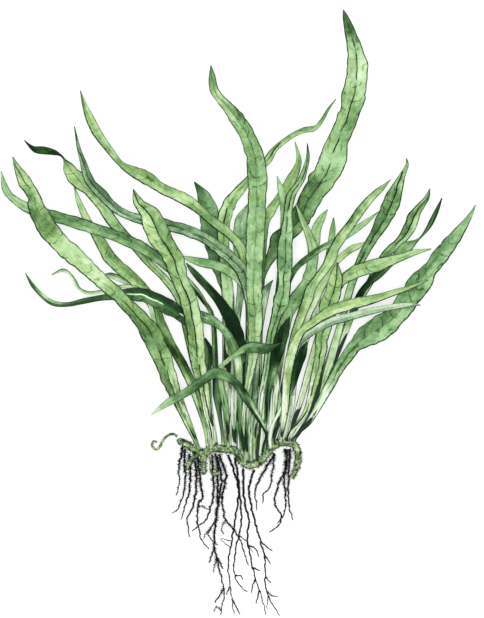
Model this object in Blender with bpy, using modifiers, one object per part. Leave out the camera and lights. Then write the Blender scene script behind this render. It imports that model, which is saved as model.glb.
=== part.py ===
"""Narrow leaf java fern, taken out of the water and laid on its back on a table.

The plant's own up direction is +Y, the side that faced the viewer is +Z and the table is z = 0.
Each leaf is a node of its own. So are the creeping rhizome, the curled young fronds and each root.
"""

import math
from collections import namedtuple

import bmesh
import bpy
from mathutils import Vector

MM = 0.001

# Driving sizes, in millimetres
BLADE_THICKNESS = 0.5
STALK_THICKNESS = 1.1
STALK_WIDTH = 1.7
RHIZOME_HEIGHT = 9.0
JOINT_GAP = 0.5
ROOT_RADIUS = 0.55
ROOT_TIP_RADIUS = 0.3
ROOTLET_RADIUS = 0.32
ROOTLET_TIP_RADIUS = 0.22
RESTING_HEIGHT = 0.7

# How finely each form is divided
LEAF_STEP = 10.0
FEWEST_LEAF_STEPS = 9
MOST_LEAF_STEPS = 22
ROOT_STEP = 7.0
ROOTLET_STEP = 3.5
FEWEST_TUBE_STEPS = 2
RHIZOME_STEP = 3.2
FROND_STEP = 1.6
SPLINE_SAMPLES = 24
# Leaf steps grow shorter toward the tip, where the outline bends most. 1 would keep them equal
TIP_CROWDING = 1.3

# A blade is a shallow channel: its edges stand above the midrib by this share of its width
CHANNEL = 0.10
# Below this width, in millimetres, a leaf is stalk and has neither channel nor waves
STALK_ENDS = 3.0
BLADE_BEGINS = 7.0

# Colours as red, green and blue, each from 0 to 1
DARK_GREEN = (0.07, 0.16, 0.08)
MID_GREEN = (0.20, 0.36, 0.13)
LIGHT_GREEN = (0.38, 0.52, 0.22)
GREY_GREEN = (0.30, 0.40, 0.27)
RHIZOME_GREEN = (0.16, 0.27, 0.08)
ROOT_BROWN = (0.07, 0.045, 0.03)
LEAF_ROUGHNESS = 0.45
WOODY_ROUGHNESS = 0.85

# foot: x where the stalk leaves the rhizome, and its angle round it (0 up the plant, 90 to the front)
# roll: turn of the blade about its own line, in degrees, at the foot and at the tip
# wave: height and length of the waves along the margins
# route: x, y, z and width, from the foot to the tip. The width is read level where the leaf runs
#   up the plant and upright where it runs sideways, so a slanting leaf is narrower than that
Leaf = namedtuple("Leaf", "foot roll wave colour route")

LEAVES = {
    # Left of the middle
    "leaf_left_broad": Leaf((-20.5, 55), (-20, 14), (1.1, 34), MID_GREEN, [
        (-27, -51, 15, 5.2), (-30.5, -43.5, 19, 5.5), (-35, -31.5, 26, 8.5), (-39, -19.5, 31, 10.5),
        (-44, -9.5, 35, 11.5), (-50, -1.5, 38, 10), (-60, 9, 40, 9.6), (-69.5, 17.5, 41, 9.8),
        (-78.5, 26, 41, 11.5), (-87.6, 34, 40, 12.4), (-94.6, 42.4, 38, 12.2),
        (-100.3, 52.5, 35, 8.6), (-101.3, 57.5, 33.8, 6.8), (-106.3, 65.5, 31, 8.2), (-110.2, 72.5, 29, 3.8), (-112.5, 78, 28, 0.5)]),
    "leaf_left_long": Leaf((-8, 0), (0, -12), (0.5, 30), MID_GREEN, [
        (-8, -59.5, 11.5, 1.8), (-9.3, -50.5, 13.4, 2.6), (-10.6, -41, 14.6, 4.2),
        (-11.2, -33, 15.2, 3.4), (-12.5, -4, 17, 2.6), (-17.5, 6.5, 21.5, 3), (-24, 14.5, 27, 5),
        (-35.5, 23.5, 31.5, 6.5), (-46, 31.5, 33, 6.5),
        (-59, 37.5, 34.5, 6), (-70, 41.5, 35, 6), (-81, 45, 34, 6), (-91, 48, 31, 6),
        (-104, 52, 28.5, 5.5), (-111.5, 56.5, 27, 5), (-116, 61.5, 26, 4), (-118.5, 71, 25, 0.5)]),
    "leaf_left_twisted": Leaf((-11.5, 0), (0, 180), (0.7, 26), LIGHT_GREEN, [
        (-12.5, -58.5, 11, 1.8), (-17.3, -41, 15, 3.8), (-21.5, -26, 18, 4.4),
        (-24.8, -12.5, 20, 4), (-26.8, -2.5, 22, 4.4), (-29.5, 7.5, 24, 5), (-37.2, 17.8, 26.5, 5),
        (-44.6, 25, 27.5, 5), (-51.5, 33.5, 28, 6), (-61.4, 44, 28, 6.8), (-67.9, 53.3, 28.5, 6.8),
        (-73.6, 60, 29, 7.2), (-79, 65.5, 29.5, 10), (-83, 71, 29.5, 8.5), (-86.3, 76, 30, 4),
        (-88.3, 78.6, 30, 1.4), (-92, 80.2, 30, 3), (-97, 81.2, 29.8, 4), (-102, 82, 29.2, 3.2),
        (-107, 86.5, 28, 0.5)]),
    "leaf_left_grey": Leaf((3.1, 15), (0, 16), (0.5, 32), GREY_GREEN, [
        (4, -59.5, 11.5, 1.8), (4.6, -38.5, 17.2, 3.4), (6, -16, 21, 4), (6.5, 1.5, 25, 5),
        (5, 14, 27, 7), (1, 22.5, 28.5, 8), (-6.5, 30, 29, 8), (-16.5, 37.3, 29.5, 6.4),
        (-25, 41, 30, 6), (-34, 43.6, 31, 5.7), (-44, 46, 32.5, 6), (-54, 48.4, 34, 4.7),
        (-62, 53, 35, 6), (-69, 60.5, 36, 7), (-74, 66, 36.5, 5.5), (-77.4, 76, 37, 3.2),
        (-79.5, 83, 37, 2), (-81.5, 93, 36.5, 0.5)]),
    "leaf_left_upper": Leaf((4.9, -35), (0, -14), (0.7, 28), MID_GREEN, [
        (5.5, -60, 9, 1.8), (6, -38.5, 12, 3.8), (6.5, -13.5, 15.5, 3.7), (6, 6.5, 18.5, 4),
        (4, 24, 21, 5), (1, 33, 22, 5.5), (-5, 40, 23, 6), (-13, 46, 24, 6), (-21.5, 53.5, 24, 6.5),
        (-29, 58, 24, 6.5), (-38, 62.2, 24, 6.2), (-45, 67, 24, 7.5), (-54, 71.5, 23, 5.5),
        (-59, 75, 22, 4), (-64.6, 82, 21, 4.8), (-70.5, 90, 20, 5.5), (-74, 97, 19, 5),
        (-77, 104.5, 18, 2.5), (-79, 111.5, 17, 0.5)]),
    "leaf_left_green": Leaf((-14.6, 0), (0, 10), (0.5, 30), MID_GREEN, [
        (-16, -61, 11, 1.8), (-18, -51.5, 12, 3.2), (-22.5, -37.5, 13.2, 4.8),
        (-28, -25.5, 14.8, 5.4), (-33.5, -16, 16.5, 5.3), (-38.5, -5, 16, 5), (-42.5, 4, 16.5, 6),
        (-47, 11.5, 18, 7), (-53.5, 18, 19.5, 8), (-63, 26.5, 21, 8), (-70, 37.5, 22, 6),
        (-75, 45.5, 23, 4.5), (-79.5, 55.5, 23, 3), (-82, 63.5, 23, 0.5)]),
    "leaf_left_thin_low": Leaf((-21.8, -35), (0, 8), (0.2, 24), LIGHT_GREEN, [
        (-23.5, -57, 7, 1.8), (-30, -40, 6, 3), (-37, -18.5, 4, 3.6), (-40, -2.5, 2.8, 3),
        (-45, 8.5, 2.2, 3.5), (-50, 13, 1.8, 3.5), (-59, 17, 1.6, 3.5), (-64, 19, 2.2, 3),
        (-67, 19.5, 3, 0.5)]),
    "leaf_left_dark_long": Leaf((-0.8, 10), (0, -10), (0.4, 30), DARK_GREEN, [
        (1.2, -59.5, 11, 1.8), (0.9, -43.5, 13.8, 3), (0.2, -26, 17.6, 4.2), (-2.5, -16, 19, 5.3),
        (-8, -7.5, 20, 5), (-16, -2.5, 23.5, 6), (-26, -2, 28.5, 8), (-33, 2, 29.5, 8.5),
        (-40, 5.8, 29, 8.2), (-46.5, 8.7, 28, 7.2), (-54, 9.5, 27, 6), (-61.5, 8.5, 26.5, 4),
        (-69, 7.5, 26, 3), (-77, 6, 26, 3), (-85, 4.3, 25, 2.4), (-92, 4.8, 24, 2.9),
        (-97, 7.8, 23, 3.2), (-102.5, 13.5, 22, 2.5), (-106.5, 20, 21, 0.5)]),
    "leaf_left_thin_wavy": Leaf((-22.8, 12), (0, 20), (0.2, 22), LIGHT_GREEN, [
        (-24.5, -57, 10.8, 1.8), (-30.5, -41, 12.3, 2.7), (-37, -24.5, 14, 3),
        (-41, -8.5, 17.5, 2.4), (-44, 4.5, 21, 2.6), (-48, 10.8, 22.4, 2.4), (-54, 13.2, 23.4, 2),
        (-60, 13, 25.5, 1.8), (-67, 11.2, 28.5, 1.6), (-74, 10, 30, 1.8), (-79, 12, 30.5, 2),
        (-81.8, 16.5, 30.5, 2.2), (-84.5, 20, 30, 2), (-88, 21.3, 29.5, 1.8), (-93, 19, 29, 0.5)]),
    "leaf_front_left": Leaf((-13.2, 65), (-10, 12), (0.8, 30), LIGHT_GREEN, [
        (-13.5, -60, 13, 2.2), (-15.5, -48.5, 17, 4.8), (-17, -38.5, 22, 5.4), (-20, -23.5, 30, 8),
        (-21.5, -8.5, 37, 8.5), (-24.5, 6.5, 42, 9), (-29, 17.5, 45, 9), (-32.6, 28.5, 46, 10.8),
        (-38.6, 37.5, 46, 13), (-43.6, 48.5, 45, 11.2), (-49.5, 55, 43, 6), (-52, 61.5, 41, 0.5)]),
    "leaf_back_dark": Leaf((-4, -50), (0, 0), (0.5, 30), DARK_GREEN, [
        (-3.8, -60, 7.5, 1.8), (-3.5, -38.5, 4.5, 3.8), (-3.5, -11, 2.5, 3.9), (-5, 9, 1.6, 6),
        (-9.5, 25.5, 1.4, 9), (-13, 36.5, 1.4, 9), (-14, 45.5, 1.6, 10), (-15.5, 54, 2.4, 9.5),
        (-18, 60, 3.4, 6.5), (-22, 66, 4.6, 0.8)]),
    # The middle of the bunch
    "leaf_arching_back": Leaf((-6, -30), (0, 20), (0.4, 28), MID_GREEN, [
        (-6, -60, 8.6, 1.8), (-6.4, -38.5, 10.5, 3.2), (-6.2, -13.5, 9.8, 3.4),
        (-5.2, 9.5, 10.5, 6), (-7, 31.5, 13, 5.5), (-7, 45.5, 15.5, 7), (-4, 55, 16.5, 7.2),
        (0.7, 61.3, 18, 6.6), (5.6, 67, 19, 5.2), (10, 72, 20, 5), (14.5, 76, 21, 5),
        (18, 81.5, 22, 4), (22.5, 85.5, 22.5, 3.5), (27.5, 89, 23, 3), (33, 91.5, 23, 3),
        (38.5, 92.5, 23, 3), (42, 96.5, 23, 2.3), (45.5, 102.5, 23, 1.5), (49, 107, 23, 0.5)]),
    "leaf_middle_back": Leaf((-2.3, -8), (0, 0), (0.4, 26), MID_GREEN, [
        (-2.2, -60, 9.6, 1.8), (-2.6, -38.5, 9.5, 2.6), (-1.6, -18, 8, 3),
        (-0.4, -4, 8, 3.3), (0.6, 5, 9, 3.6), (1.8, 14, 10.5, 4.5), (2, 25.5, 11.5, 6),
        (1, 34, 13, 7), (1, 40.5, 15, 7), (2, 47.5, 16.5, 6), (5, 54.5, 18, 1)]),
    "leaf_middle_pale": Leaf((1.8, -40), (0, 10), (0.3, 26), LIGHT_GREEN, [
        (2.4, -60, 7.2, 1.8), (4.8, -38.5, 5.4, 3), (5.5, -13.5, 7.5, 3.7), (5.6, 4, 12.5, 4),
        (4.6, 10, 16.4, 4.6), (1.5, 15.5, 19, 5), (-4, 20.5, 20.5, 5.5), (-11.5, 24, 21, 5),
        (-19, 25.5, 21, 4.5), (-24, 27, 21, 3), (-29, 28.5, 21, 0.5)]),
    "leaf_inner_darkest": Leaf((-1.5, -58), (0, -10), (0.3, 26), DARK_GREEN, [
        (-0.6, -60.5, 7.4, 1.8), (1, -41, 9, 3.4), (2, -23.5, 12, 5.4),
        (-0.2, -12.5, 14, 7.2), (-3.5, -3.5, 15.2, 7.5), (-8, 4, 15.6, 6.4), (-13.5, 11, 15.8, 5.4),
        (-19, 17, 15.8, 5), (-23, 21.5, 15.6, 3.6), (-26, 25, 15, 1)]),
    "leaf_inner_left": Leaf((-11, -35), (0, 0), (0.2, 20), DARK_GREEN, [
        (-12, -58, 8.7, 1.8), (-14.5, -43.5, 9.5, 3), (-15.5, -28, 11, 4.5),
        (-14.8, -19.5, 12, 5.2), (-16.5, -12.5, 12.5, 0.7)]),
    "leaf_inner_right": Leaf((14.1, -42), (0, 0), (0.2, 20), DARK_GREEN, [
        (14.6, -60, 8.8, 1.7), (14.8, -54, 10.8, 1.8), (15, -48, 13.2, 2.4), (15.3, -40, 15.5, 3.2),
        (17.3, -30, 18.5, 3.8), (19.5, -23.5, 20.5, 4.4), (21.6, -16, 22.8, 4.8),
        (22.8, -10, 24.4, 5.6), (24.3, -5.5, 25.2, 3.6), (25.8, -2, 25.6, 0.6)]),
    "leaf_centre_front": Leaf((2.4, 62), (-8, 10), (0.7, 32), LIGHT_GREEN, [
        (2.5, -59, 14, 1.8), (4, -41, 21, 2.8), (7.5, -21, 30, 5.4), (8.5, -3.5, 37, 7.5),
        (8, 11.5, 41, 8), (8.5, 34, 44, 9), (9.5, 54, 45, 9), (9.5, 71.5, 44, 9.5),
        (6, 85.5, 42, 8.5), (-1, 97.5, 39, 8.5), (-10.2, 108.5, 35, 5.6), (-12.3, 113, 34, 4.4),
        (-12.9, 118, 33, 3.4), (-13.5, 123.5, 31, 0.5)]),
    "leaf_front_arching": Leaf((14.3, 60), (0, 12), (0.3, 26), DARK_GREEN, [
        (14.3, -61, 14, 1.8), (12, -55.5, 20, 2.8), (8.5, -49.5, 28, 3.8), (5.5, -44.5, 36, 4.8),
        (2, -39, 42, 5.2), (-1.5, -34.5, 46, 5.4), (-6.5, -31, 49, 5.4), (-12, -30, 50, 5.4),
        (-17.5, -33.5, 50, 5.4), (-23, -37.5, 49, 5.4), (-28.5, -41, 47, 4.8), (-34, -44, 44, 4.5),
        (-39, -47.5, 41, 3), (-43, -50.5, 39, 0.9)]),
    "leaf_front_small": Leaf((-5, 55), (0, 0), (0.2, 24), MID_GREEN, [
        (-5, -59, 14, 1.8), (-6.5, -46, 21, 3.4), (-8.5, -35, 29, 3), (-8.5, -27.5, 36, 3),
        (-5, -23.5, 41, 3.3), (0, -19.5, 45, 3.7), (4, -17.5, 46, 4.9), (8, -17, 46, 5.4),
        (12, -17.5, 46, 5.4), (15.5, -17.5, 45, 4.2), (21, -15, 43, 0.6)]),
    "leaf_middle_grey": Leaf((7.2, 20), (0, 0), (0.2, 24), GREY_GREEN, [
        (6.9, -60, 10.5, 1.8), (8.4, -38.5, 15, 3.2), (9.7, -16, 19.4, 3.8), (11.5, -1, 24, 4.3),
        (13, 8, 26, 4.8), (15, 13, 27, 3.5), (17.5, 16.5, 27, 0.5)]),
    # Right of the middle
    "leaf_right_tallest": Leaf((10.2, -62), (0, -8), (0.9, 38), MID_GREEN, [
        (9.4, -60, 6.5, 1.8), (9.5, -43.5, 5.5, 3.8), (9.8, -18.5, 5, 5), (10, 4, 4.5, 4.5),
        (11.2, 18, 4, 5.2), (16.2, 27.5, 3.5, 6), (19.2, 32.5, 3.4, 9.5), (22.3, 37.5, 3.2, 12.4),
        (30.3, 46.5, 3, 11.8), (36.5, 58, 2.6, 12.5), (41.5, 66, 2.2, 14.8), (46.3, 74, 2, 14.6), (50, 86, 1.8, 12),
        (54, 95.5, 1.8, 11), (56.5, 102.5, 2, 10.5), (58, 109.5, 2.4, 12), (59.5, 117.5, 3, 11),
        (60, 125.5, 4, 10.5), (58.5, 133.5, 5, 7.5), (56, 142.5, 6.5, 5.5), (54, 149, 7.5, 3),
        (53, 152.5, 8, 0.5)]),
    "leaf_right_inner": Leaf((8.9, -22), (0, 12), (0.4, 28), MID_GREEN, [
        (8.2, -60, 9, 1.8), (9.5, -41, 10.5, 3.3), (10.5, -13.5, 12, 3.7), (11.5, 11.5, 14, 3.5),
        (12, 31.5, 16.5, 4.5), (13, 44.5, 18, 5.5), (16, 50.5, 18, 6), (19.5, 56, 18, 4.8),
        (23.5, 61.5, 18, 6), (27, 67, 18, 6), (29.5, 72.5, 18, 4), (30.5, 77.5, 18, 2.5),
        (28.5, 86, 18, 0.5)]),
    "leaf_right_small": Leaf((12.4, 20), (0, 0), (0.3, 24), LIGHT_GREEN, [
        (12.2, -60, 11.5, 1.8), (12.4, -41, 17.5, 2.4), (15.3, -16, 23.5, 3.3), (19.5, 6.5, 27, 3),
        (22, 29, 29.5, 3.5), (23, 44, 30, 3.8), (23, 51.5, 30, 3.8), (22, 58.5, 30, 3.5),
        (21, 63, 30, 3), (19.5, 68.5, 30, 0.5)]),
    "leaf_right_front": Leaf((10.4, 62), (0, 10), (0.7, 26), LIGHT_GREEN, [
        (10.5, -60, 14, 1.8), (11.5, -42.5, 21, 3), (14, -28.5, 28, 3.3), (15, -19.5, 32, 3.3),
        (16.2, -12.5, 36, 4.5), (18.8, -2.5, 39, 5.4), (21.5, 5.5, 41, 8), (23, 14, 42, 6.5),
        (23.3, 25.5, 43, 8), (23.5, 34, 43, 7), (24.5, 42.5, 43, 6), (25, 51, 43, 4.5),
        (26.5, 58.5, 42, 5), (31, 65.5, 41, 4), (33, 70.5, 40, 3), (34.8, 77.5, 39, 2),
        (34.5, 84.5, 38, 0.5)]),
    "leaf_right_pale": Leaf((16.8, 5), (0, 8), (0.5, 26), LIGHT_GREEN, [
        (17.4, -60, 11, 1.8), (18.9, -41, 13.6, 3.3), (21, -18.5, 18, 5.4), (24.5, -1, 21, 7),
        (29.5, 7.5, 22.5, 8.5), (34, 14, 23, 7), (36.5, 20.5, 23, 6), (37.5, 27.5, 23, 5.5),
        (37, 34, 23, 4.8), (35, 40, 22.5, 4), (32.5, 46, 22, 3), (29, 54.5, 21, 0.5)]),
    "leaf_right_pale_small": Leaf((18.6, -20), (0, 0), (0.3, 24), LIGHT_GREEN, [
        (18.8, -60, 9, 1.8), (22.5, -38.5, 9.2, 3), (28, -13.5, 11.2, 3.7), (34, 9, 14, 4),
        (37.5, 25.5, 15.5, 4.5), (38.5, 35, 16, 5), (39.5, 42.5, 16, 5), (42, 47.5, 16, 4.3),
        (45, 52, 16, 0.5)]),
    "leaf_right_back_small": Leaf((20.6, -50), (0, 0), (0.2, 24), GREY_GREEN, [
        (21.5, -59.5, 7.6, 1.8), (28, -36, 8, 3), (36, -8.5, 10, 2.6), (42, 14, 10.5, 3),
        (46, 31.5, 11, 3.2), (47.5, 41.5, 11.5, 3), (48, 48, 12.5, 0.5)]),
    "leaf_right_narrow": Leaf((11.9, -20), (0, 8), (0.4, 26), MID_GREEN, [
        (11.8, -60, 8.4, 1.8), (15.2, -41, 10.2, 3), (18.5, -16, 15.5, 3.3), (22, 4, 19.5, 3),
        (25.5, 16.5, 24.5, 3.5), (29.5, 23, 28, 4), (35.5, 28, 30, 4), (42, 32.5, 30.5, 3.5),
        (49.5, 36, 31, 3.8), (57, 40.5, 31, 4), (64, 45.5, 30.5, 3.2), (70, 50.5, 30, 0.5)]),
    "leaf_right_pale_low": Leaf((22.8, -10), (0, 8), (0.4, 26), LIGHT_GREEN, [
        (23, -60, 9.8, 1.8), (25, -41, 11.5, 3), (29.5, -18.5, 15.6, 4), (34, -2.5, 19.5, 5),
        (38, 7, 22, 6), (41, 12.5, 23, 6), (45, 20, 24, 5), (50, 26.5, 24, 4.5),
        (56, 31.5, 23.5, 4), (60, 33.5, 23, 3.3), (64, 35.5, 22.5, 0.5)]),
    "leaf_right_curved": Leaf((18.6, 48), (0, 14), (0.6, 30), MID_GREEN, [
        (19, -60, 12.5, 1.8), (22.5, -48.5, 16.5, 3), (25, -36, 21.5, 3.2), (26, -22, 27, 3.8),
        (28.3, -10.5, 31.5, 4.2), (31.5, -1.5, 34.5, 5), (34.5, 6.5, 36, 5.5),
        (36.5, 12.5, 37, 5.8), (41, 19, 38, 5.5), (45.5, 25.5, 39, 6), (48, 32, 39, 5.3),
        (52, 38.5, 39, 6.3), (56.8, 45, 38.5, 5.6), (62.2, 52.5, 37.5, 5.6), (67.5, 58.5, 36, 5),
        (72, 62.5, 35, 3.5), (76, 66.5, 34, 0.5)]),
    "leaf_right_upper": Leaf((26.2, 8), (0, 12), (0.7, 30), MID_GREEN, [
        (30, -58, 11.8, 1.8), (38, -43.5, 14, 3.8), (45, -27.5, 15.5, 4.9), (49.5, -12.5, 18, 4.2),
        (52, -3.5, 20, 3.8), (55, 8, 23, 4), (57.5, 16.5, 25, 4.2), (61, 25.5, 26.5, 4.8),
        (64.5, 32.5, 27.5, 5.5), (69, 40, 28, 6.8), (73, 47, 28, 8.8), (76, 53, 28, 9),
        (78, 58.5, 28, 8), (80, 63.5, 28, 6), (82, 68.5, 27.5, 3.5), (84.5, 74, 27, 1.8),
        (84, 77.5, 27, 0.5)]),
    "leaf_right_two_tone": Leaf((26.6, -40), (0, 0), (0.7, 28), LIGHT_GREEN, [
        (30.6, -59.4, 5.6, 1.8), (36.5, -48, 4.4, 3), (45, -28, 3.2, 3.8), (54, -8, 2.2, 3),
        (64.5, 12, 1.6, 4), (74.5, 29, 1.8, 6), (79.3, 34, 2.2, 6), (83.5, 38.5, 3, 6.5),
        (87, 44.5, 4, 6.8), (89.2, 50, 5, 6.2), (92.5, 54.5, 6.5, 4.6), (95, 58, 8, 3),
        (96.5, 62.5, 9, 0.5)]),
    "leaf_right_twisted": Leaf((27.8, 0), (0, 150), (0.5, 26), DARK_GREEN, [
        (32, -58.6, 9.6, 1.8), (40, -44.5, 9.8, 3), (46.5, -27.5, 11.5, 3.8), (54, -9.5, 14.5, 3.2),
        (60, 7, 18, 3.8), (65, 14.5, 20, 4.2), (71, 19.5, 21, 4.5), (76.5, 24.5, 22, 3.5),
        (81, 30.5, 22.5, 5.5), (86.5, 34, 23, 5.5), (91.5, 38, 23.5, 3), (95, 42.5, 24, 3.2),
        (97.7, 47.5, 24, 2.8), (100, 52.5, 24, 2), (102, 57.5, 24, 0.5)]),
    "leaf_right_pale_crossing": Leaf((24.6, 0), (0, 12), (0.5, 30), LIGHT_GREEN, [
        (26.2, -59, 10, 1.8), (30, -48.5, 13.5, 3), (35, -31, 20, 3.8), (40, -13.5, 25, 4.3),
        (45, 1.5, 29, 5), (50, 14, 31.5, 6.5), (56, 19, 32.5, 6.8), (63, 22, 33, 7),
        (70, 24, 33, 6.8), (76, 26, 32.5, 5.5), (82, 28, 32, 4), (88.5, 30.3, 31.5, 3),
        (96.5, 32, 31, 0.5)]),
    "leaf_right_front_broad": Leaf((24.8, 62), (0, 8), (0.6, 26), LIGHT_GREEN, [
        (26.2, -60, 14, 1.8), (29.5, -56, 16, 3), (34, -49.5, 19.5, 3.3), (36.5, -41.5, 23, 3.8),
        (38.5, -33.5, 27, 5.2), (40, -26, 30, 5.4), (41.5, -18.5, 32, 6), (42, -11.5, 34, 6.5),
        (43.5, -4.5, 35.5, 8), (45.5, 4.5, 37, 9.5), (47.5, 10.5, 37.5, 8.3), (48.5, 15.5, 37, 7.5),
        (49, 20.5, 36, 5), (49.5, 25, 34.5, 0.6)]),
    "leaf_right_olive": Leaf((21.4, 72), (0, 10), (0.5, 30), MID_GREEN, [
        (22, -60.5, 14.5, 1.8), (23.5, -48.5, 23, 3.8), (24.5, -33.5, 32, 4.5),
        (26.5, -21, 39, 5.2), (31, -10, 44, 4.9), (37, -5, 46, 5.2), (43.5, -0.5, 47, 6),
        (50, 2.5, 47, 6), (57, 4.5, 46.5, 5.5), (64, 6, 45.5, 5), (71, 8, 44, 4),
        (78.5, 10.5, 42.5, 3.2), (86, 13, 41, 2), (94.5, 16.5, 40, 0.5)]),
    "leaf_right_grey": Leaf((23, 22), (0, 8), (0.3, 30), GREY_GREEN, [
        (24.2, -59.5, 11.4, 1.8), (27, -46, 15.5, 2.8), (28, -32.5, 18.5, 3.2),
        (28.3, -22, 22.5, 3.4), (30, -15.5, 26.5, 3.8), (34, -11.5, 33.5, 4.6),
        (40, -7.5, 39, 4.5), (47.5, -4, 41.5, 4.2),
        (55, -2, 41.5, 4), (62.5, 0, 41, 3.8), (70, 1.8, 40, 3.3), (77, 3, 39, 3), (84, 4, 38, 2.3),
        (91, 4, 37, 0.5)]),
    "leaf_right_large": Leaf((26.4, 48), (0, -12), (0.9, 36), MID_GREEN, [
        (30.2, -60.5, 12.6, 1.8), (35, -55.5, 14, 3.4), (38.5, -50, 16, 3.8),
        (41.5, -44.5, 18, 4.5), (45, -38, 20, 5.4), (50, -28.5, 22.5, 6), (54, -22.5, 24.5, 7.6),
        (58, -17, 26.5, 9), (63.4, -12.2, 28, 12.4), (70, -8, 29, 14.6), (77, -2.8, 30, 14.5),
        (81.5, 2, 30.8, 13), (85.5, 8, 31.4, 13), (91, 15.5, 31.8, 14), (96, 22.2, 32, 9.2),
        (102, 30, 32, 10.8), (109.5, 39.5, 32, 7.2), (115.5, 48, 31.6, 3), (118.5, 54, 31, 0.5)]),
    "leaf_right_dark_back": Leaf((16.6, 76), (0, 0), (0.2, 20), DARK_GREEN, [
        (16.4, -60.6, 14.6, 1.8), (18.6, -54, 17.4, 2), (22.6, -46.5, 21, 2.4), (26.3, -39, 24, 2.6),
        (28.2, -32.5, 26.5, 3.9), (29.1, -28.4, 28, 4.8), (30.3, -24.9, 29, 5),
        (31.8, -21.3, 30.4, 4.8), (33, -17.7, 32, 3.8), (34.6, -14.3, 33.6, 0.6)]),
}

# Turn of the blade, in degrees, at shares of the way from foot to tip, for leaves that twist over
TWISTS = {
    "leaf_left_twisted": [(0, 0), (0.80, -8), (0.87, 70), (0.92, 165), (1, 180)],
    "leaf_right_twisted": [(0, 0), (0.62, 10), (0.78, 40), (0.87, 110), (1, 160)],
}

# Lines of the rhizome: x, y and radius. The plant creeps, so it dips and rises from left to right
RHIZOME_MAIN = [
    (-17, -81, 0.9), (-17.5, -76, 1.5), (-17, -71.8, 1.8), (-15, -69, 1.9), (-12, -68, 1.9),
    (-7, -68.5, 1.9), (-3.5, -68.5, 1.9), (-1, -69.5, 1.9), (0.5, -72, 1.9), (2.5, -75, 1.9),
    (6, -76.5, 1.9), (9.5, -75.5, 1.9), (12.5, -73, 1.9), (15, -69.8, 1.9), (17.5, -67, 1.9),
    (21, -65.2, 1.9), (25, -65, 1.9), (28, -66, 1.8), (29.8, -69, 1.7), (30.2, -73.5, 1.6),
    (29.2, -78.5, 1.4), (27, -83, 0.9)]
RHIZOME_LEFT = [
    (-30.5, -64.5, 1.0), (-29, -64.4, 1.5), (-26, -65.8, 1.7), (-23, -67.8, 1.8), (-20, -69.5, 1.8),
    (-17.2, -71.2, 1.7)]
RHIZOME_SHORT_TIP = [
    (-19.5, -70, 1.3), (-21.5, -71.8, 1.3), (-23.5, -74.2, 1.2), (-25, -76.5, 1.1), (-25.6, -79, 0.7)]

# Curled young fronds: x, y, z and radius, from the rhizome to the tip
FRONDS = {
    "young_frond_left": [
        (-30.8, -62.2, 9.2, 0.6), (-31.5, -61.2, 9.6, 0.6), (-33.5, -60.8, 10.6, 0.6),
        (-36, -62, 12, 0.6), (-38, -64.5, 13, 0.6), (-39.5, -67.5, 13.5, 0.6),
        (-41.5, -68.4, 13.6, 0.6), (-43.2, -66.5, 13.6, 0.6), (-42.5, -64.3, 13.8, 0.55),
        (-40.8, -64.8, 14.4, 0.45)],
    "young_frond_middle": [
        (-13.8, -71.9, 9.6, 0.6), (-13.7, -75, 10.5, 0.6), (-13.5, -79.5, 11.2, 0.6),
        (-12, -81.6, 11.4, 0.6), (-10.4, -80.4, 11.4, 0.55), (-11, -78.4, 11.6, 0.5),
        (-12, -78.8, 12.4, 0.4)],
}

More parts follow.
